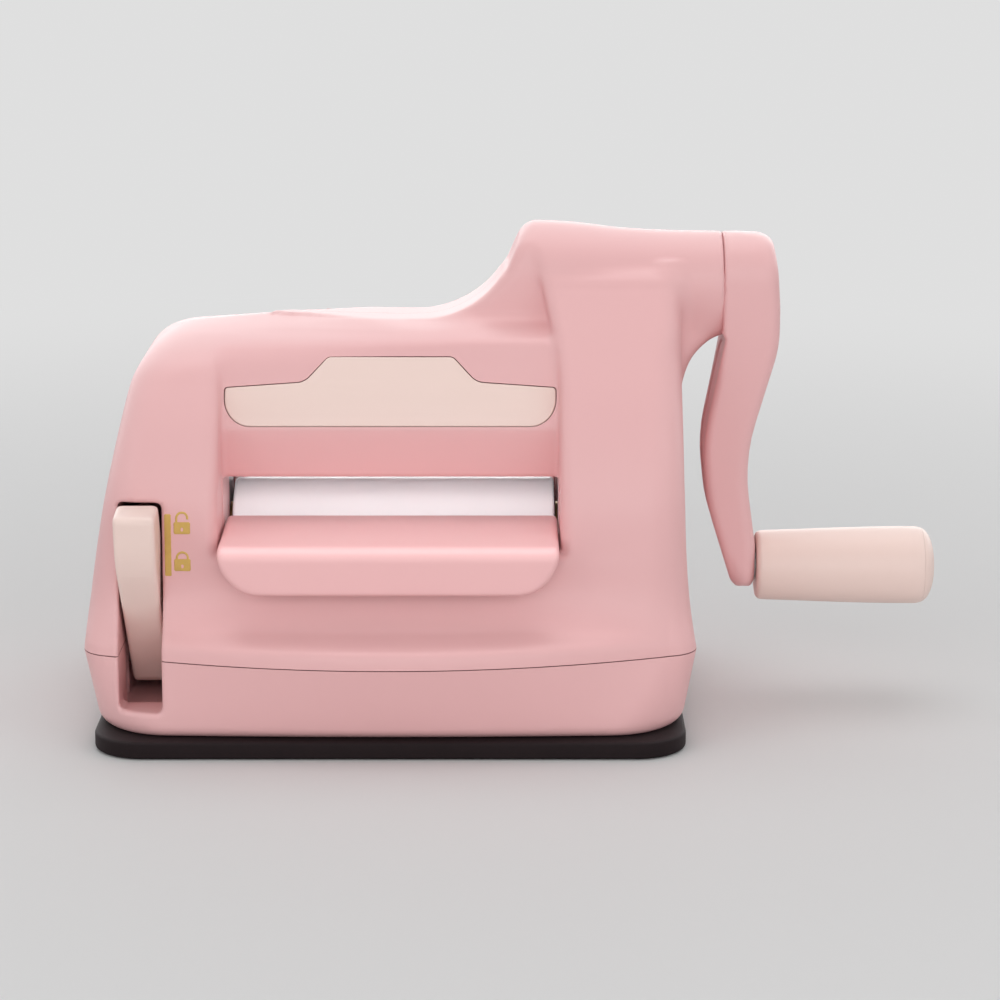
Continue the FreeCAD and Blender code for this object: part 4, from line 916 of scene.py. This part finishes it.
def ribTree():  # rings of growing radius under the cup
    tree, keys, given, end = newTree("cupRings", {
        "Rings": "Int", "First Radius": "Float", "Step": "Float", "Line": "Float", "Finish": "Material"})
    order = addNode(tree, "GeometryNodeInputIndex").outputs[0]
    radius = addNode(tree, "ShaderNodeMath", {
        0: order, 1: given["Step"], 2: given["First Radius"]}, operation="MULTIPLY_ADD")
    row = addNode(tree, "GeometryNodePoints", {"Count": given["Rings"]})
    circle = addNode(tree, "GeometryNodeCurvePrimitiveCircle", {"Resolution": 72, "Radius": 1})
    spread = addNode(tree, "GeometryNodeInstanceOnPoints", {
        "Points": row.outputs["Points"], "Instance": circle.outputs["Curve"], "Scale": radius.outputs[0]})
    outer = addNode(tree, "GeometryNodeInstanceOnPoints", {
        "Points": given["Geometry"], "Instance": spread.outputs["Instances"]})
    rings = addNode(tree, "GeometryNodeRealizeInstances", {"Geometry": outer.outputs["Instances"]})
    section = addNode(tree, "GeometryNodeCurvePrimitiveCircle", {"Resolution": 8, "Radius": given["Line"]})
    ribs = addNode(tree, "GeometryNodeCurveToMesh", {
        "Curve": rings.outputs["Geometry"], "Profile Curve": section.outputs["Curve"]})
    finishTree(tree, ribs.outputs["Mesh"], given, end)
    return tree, keys


fs = {  # fasteners
    "headR": 3.0, "headHeight": 2.0, "shankR": 1.5, "recess": 0.8, "nutAcross": 4.5, "nutThick": 2.0,
    "nutBore": 2.5, "baseLong": 21.6, "housingLong": 15.0, "plateLong": 4.3, "plateX": 46.9,
    "plateY": 13, "plateTop": 8.9, "nutX": 42.9, "rods": ((0, 16.9), (19, 16.9), (14.5, 82.6))}
plateSpots = [
    (x, y, fs["plateTop"]) for x in (-fs["plateX"], fs["plateX"]) for y in (-fs["plateY"], fs["plateY"])]
screwGroup = screwTree()
baseSpots = [(x, y, tb["headTop"]) for x, y in tb["screws"]]
housingSpots = [(x, sh["headY"], z) for x, z in sh["screws"]]
screwRows = {
    "baseScrews": (baseSpots, fs["baseLong"], (0, 0, -1), "base_screws"),
    "housingScrews": (housingSpots, fs["housingLong"], (0, 1, 0), "housing_screws"),
    "plateScrews": (plateSpots, fs["plateLong"], (0, 0, 1), "plate_screws"),
}
for name, (spots, length, facing, stands) in screwRows.items():
    row = placedByTree(name, spots, *screwGroup, {
        "Head Radius": fs["headR"] * mm, "Head Height": fs["headHeight"] * mm,
        "Shank Radius": fs["shankR"] * mm, "Shank Length": length * mm,
        "Recess Width": fs["recess"] * mm, "Facing": facing, "Finish": finishes["steel"]})
    settle(row, "machine_frame", "steel", stands, sharp=35)
nutSpots = [(side * fs["nutX"], y, z) for y, z in fs["rods"] for side in (-1, 1)]
nutValues = {
    "Across": fs["nutAcross"] * mm, "Thickness": fs["nutThick"] * mm, "Bore": fs["nutBore"] * mm,
    "Finish": finishes["steel"]}
nuts = placedByTree("tieRodNuts", nutSpots, *nutTree(), nutValues)
settle(nuts, "machine_frame", "steel", "tie_rod_nuts", sharp=35)

cp = {  # cup
    "radius": 18.5, "thick": 1.6, "lip": 0.5, "rings": 5, "firstRing": 5.0, "ringStep": 2.6,
    "ringLine": 0.3}
cupProfile = [
    (0.35, 0), (0.35, cp["radius"] - 3.5), (0.02, cp["radius"] - 2.2), (0.02, cp["radius"] - 1.2),
    (0.35, cp["radius"] - 0.3), (cp["lip"] + 0.2, cp["radius"]), (cp["thick"] - 0.3, cp["radius"]),
    (cp["thick"], cp["radius"] - 0.3), (cp["thick"], 0)]
cup = lathe("suctionCup", cupProfile, (0, pd["cupY"], 0), axis="z")
settle(cup, "suction_lift", "black_rubber", "suction_cup", sharp=50)
ringValues = {
    "Rings": cp["rings"], "First Radius": cp["firstRing"] * mm, "Step": cp["ringStep"] * mm,
    "Line": cp["ringLine"] * mm, "Finish": finishes["black_rubber"]}
ribs = placedByTree("cupRings", [(0, pd["cupY"], 0.35)], *ribTree(), ringValues)
settle(ribs, "suction_lift", "black_rubber")
print("stage: signs, fasteners and cup")

# camera at the photograph's view, floor and soft lamps

viewSizes = {
    "target": (25.3, 0.0, 48.6), "distance": 750.0, "pitch": 13.0, "pixelFocal": 3117.0,
    "picture": 1000.0}
aim = Vector(viewSizes["target"]) * mm
pitch = math.radians(viewSizes["pitch"])
towards = Vector((0, -math.cos(pitch), math.sin(pitch)))
camera = added("camera", bpy.data.cameras.new("camera"))
camera.location = aim + towards * viewSizes["distance"] * mm
camera.rotation_euler = (-towards).to_track_quat("-Z", "Y").to_euler()
camera.data.sensor_width = 36
camera.data.lens = viewSizes["pixelFocal"] / viewSizes["picture"] * camera.data.sensor_width
camera.data.clip_start = 0.01
bpy.context.scene.camera = camera

fl = {"half": 3000, "low": -0.2, "grey": 0.72, "rough": 0.8, "backdrop": 0.74, "from": 0.12, "to": 0.6}
floorCorners = [(x * fl["half"], y * fl["half"], fl["low"]) for x, y in squareTurn]
floor = newMesh("floor", floorCorners, [(0, 1, 2, 3)])
floorFinish, floorTree, floorShader = newMaterial("paleFloor")
feed(floorTree, floorShader, {"Base Color": (*[fl["grey"]] * 3, 1), "Roughness": fl["rough"]})
backdrop = addNode(floorTree, "ShaderNodeEmission", {"Color": (*[fl["backdrop"]] * 3, 1)})
floorSpot = addNode(floorTree, "ShaderNodeTexCoord").outputs["Object"]
fromMachine = addNode(floorTree, "ShaderNodeVectorMath", {0: floorSpot}, operation="LENGTH")
fade = addNode(
    floorTree, "ShaderNodeMapRange",
    {"From Min": fl["from"], "From Max": fl["to"], "Value": fromMachine.outputs["Value"]},
    interpolation_type="SMOOTHSTEP")
floorRays = addNode(floorTree, "ShaderNodeLightPath")  # only the camera sees the backdrop
seen = addNode(floorTree, "ShaderNodeMath", {
    0: fade.outputs["Result"], 1: floorRays.outputs["Is Camera Ray"]}, operation="MULTIPLY")
blend = addNode(floorTree, "ShaderNodeMixShader", {
    "Fac": seen.outputs["Value"], 1: floorShader.outputs["BSDF"], 2: backdrop.outputs["Emission"]})
feed(floorTree, floorTree.nodes["Material Output"], {"Surface": blend.outputs["Shader"]})
floor.data.materials.append(floorFinish)


def litGroup(name, pieces):  # what a lamp that is kept to some pieces may light
    group = bpy.data.collections.new(name)
    for piece in pieces:
        group.objects.link(bpy.data.objects[piece])
    return group


rollersLit = litGroup("rollersLit", ("upperRoller", "lowerRoller"))  # deep in their slot
traysLit = litGroup("traysLit", ("frontTray", "rearTray"))  # under the leaning field
lampSizes = {  # place, width and power, and what it is kept to
    "frontLamp": ((0.05, -1.2, 0.28), 1.0, 5.6, None),
    "leftLamp": ((-0.95, -0.65, 0.4), 0.9, 2.6, None),
    "rightLamp": ((0.95, -0.65, 0.4), 0.9, 2.6, None),
    "topLamp": ((0.0, 0.2, 1.1), 1.0, 3.4, None),
    "rollerLamp": ((0.0, -0.85, 0.33), 0.3, 3.6, rollersLit),
    "trayLamp": ((0.0, -0.35, 0.8), 0.4, 2.4, traysLit),
}
for name, (place, width, power, only) in lampSizes.items():
    light = bpy.data.lights.new(name, "AREA")
    light.size, light.energy = width, power
    holder = added(name, light)
    holder.location = place
    holder.rotation_euler = (aim - holder.location).to_track_quat("-Z", "Y").to_euler()
    if only:
        holder.light_linking.receiver_collection = only
        holder.light_linking.blocker_collection = only

sk = {  # sky
    "grey": 0.9, "lit": 0.4, "seen": 0.82, "mirrorLow": 0.3, "mirrorHigh": 3.5, "towards": (0, 0.6, 0.8),
    "from": -0.2, "to": 0.9}
world = bpy.data.worlds.new("studio")
bpy.context.scene.world = world
world.use_nodes = True
sky = world.node_tree
rays = addNode(sky, "ShaderNodeLightPath").outputs
way = addNode(sky, "ShaderNodeTexCoord").outputs["Generated"]
upBack = addNode(sky, "ShaderNodeVectorMath", {0: way, 1: sk["towards"]}, operation="DOT_PRODUCT")
ceiling = addNode(sky, "ShaderNodeMapRange", {  # gloss mirrors a pale ceiling, above and behind
    "From Min": sk["from"], "From Max": sk["to"], "To Min": sk["mirrorLow"], "To Max": sk["mirrorHigh"],
    "Value": upBack.outputs["Value"]}, interpolation_type="SMOOTHSTEP")
glossy = addNode(sky, "ShaderNodeMix", {
    "A": sk["lit"], "B": ceiling.outputs["Result"], "Factor": rays["Is Glossy Ray"]})
direct = addNode(sky, "ShaderNodeMix", {
    "A": glossy.outputs["Result"], "B": sk["seen"], "Factor": rays["Is Camera Ray"]})
feed(sky, sky.nodes["Background"], {"Color": (*[sk["grey"]] * 3, 1), "Strength": direct.outputs["Result"]})
bpy.context.scene.view_settings.view_transform = "Standard"

print("stage: done")
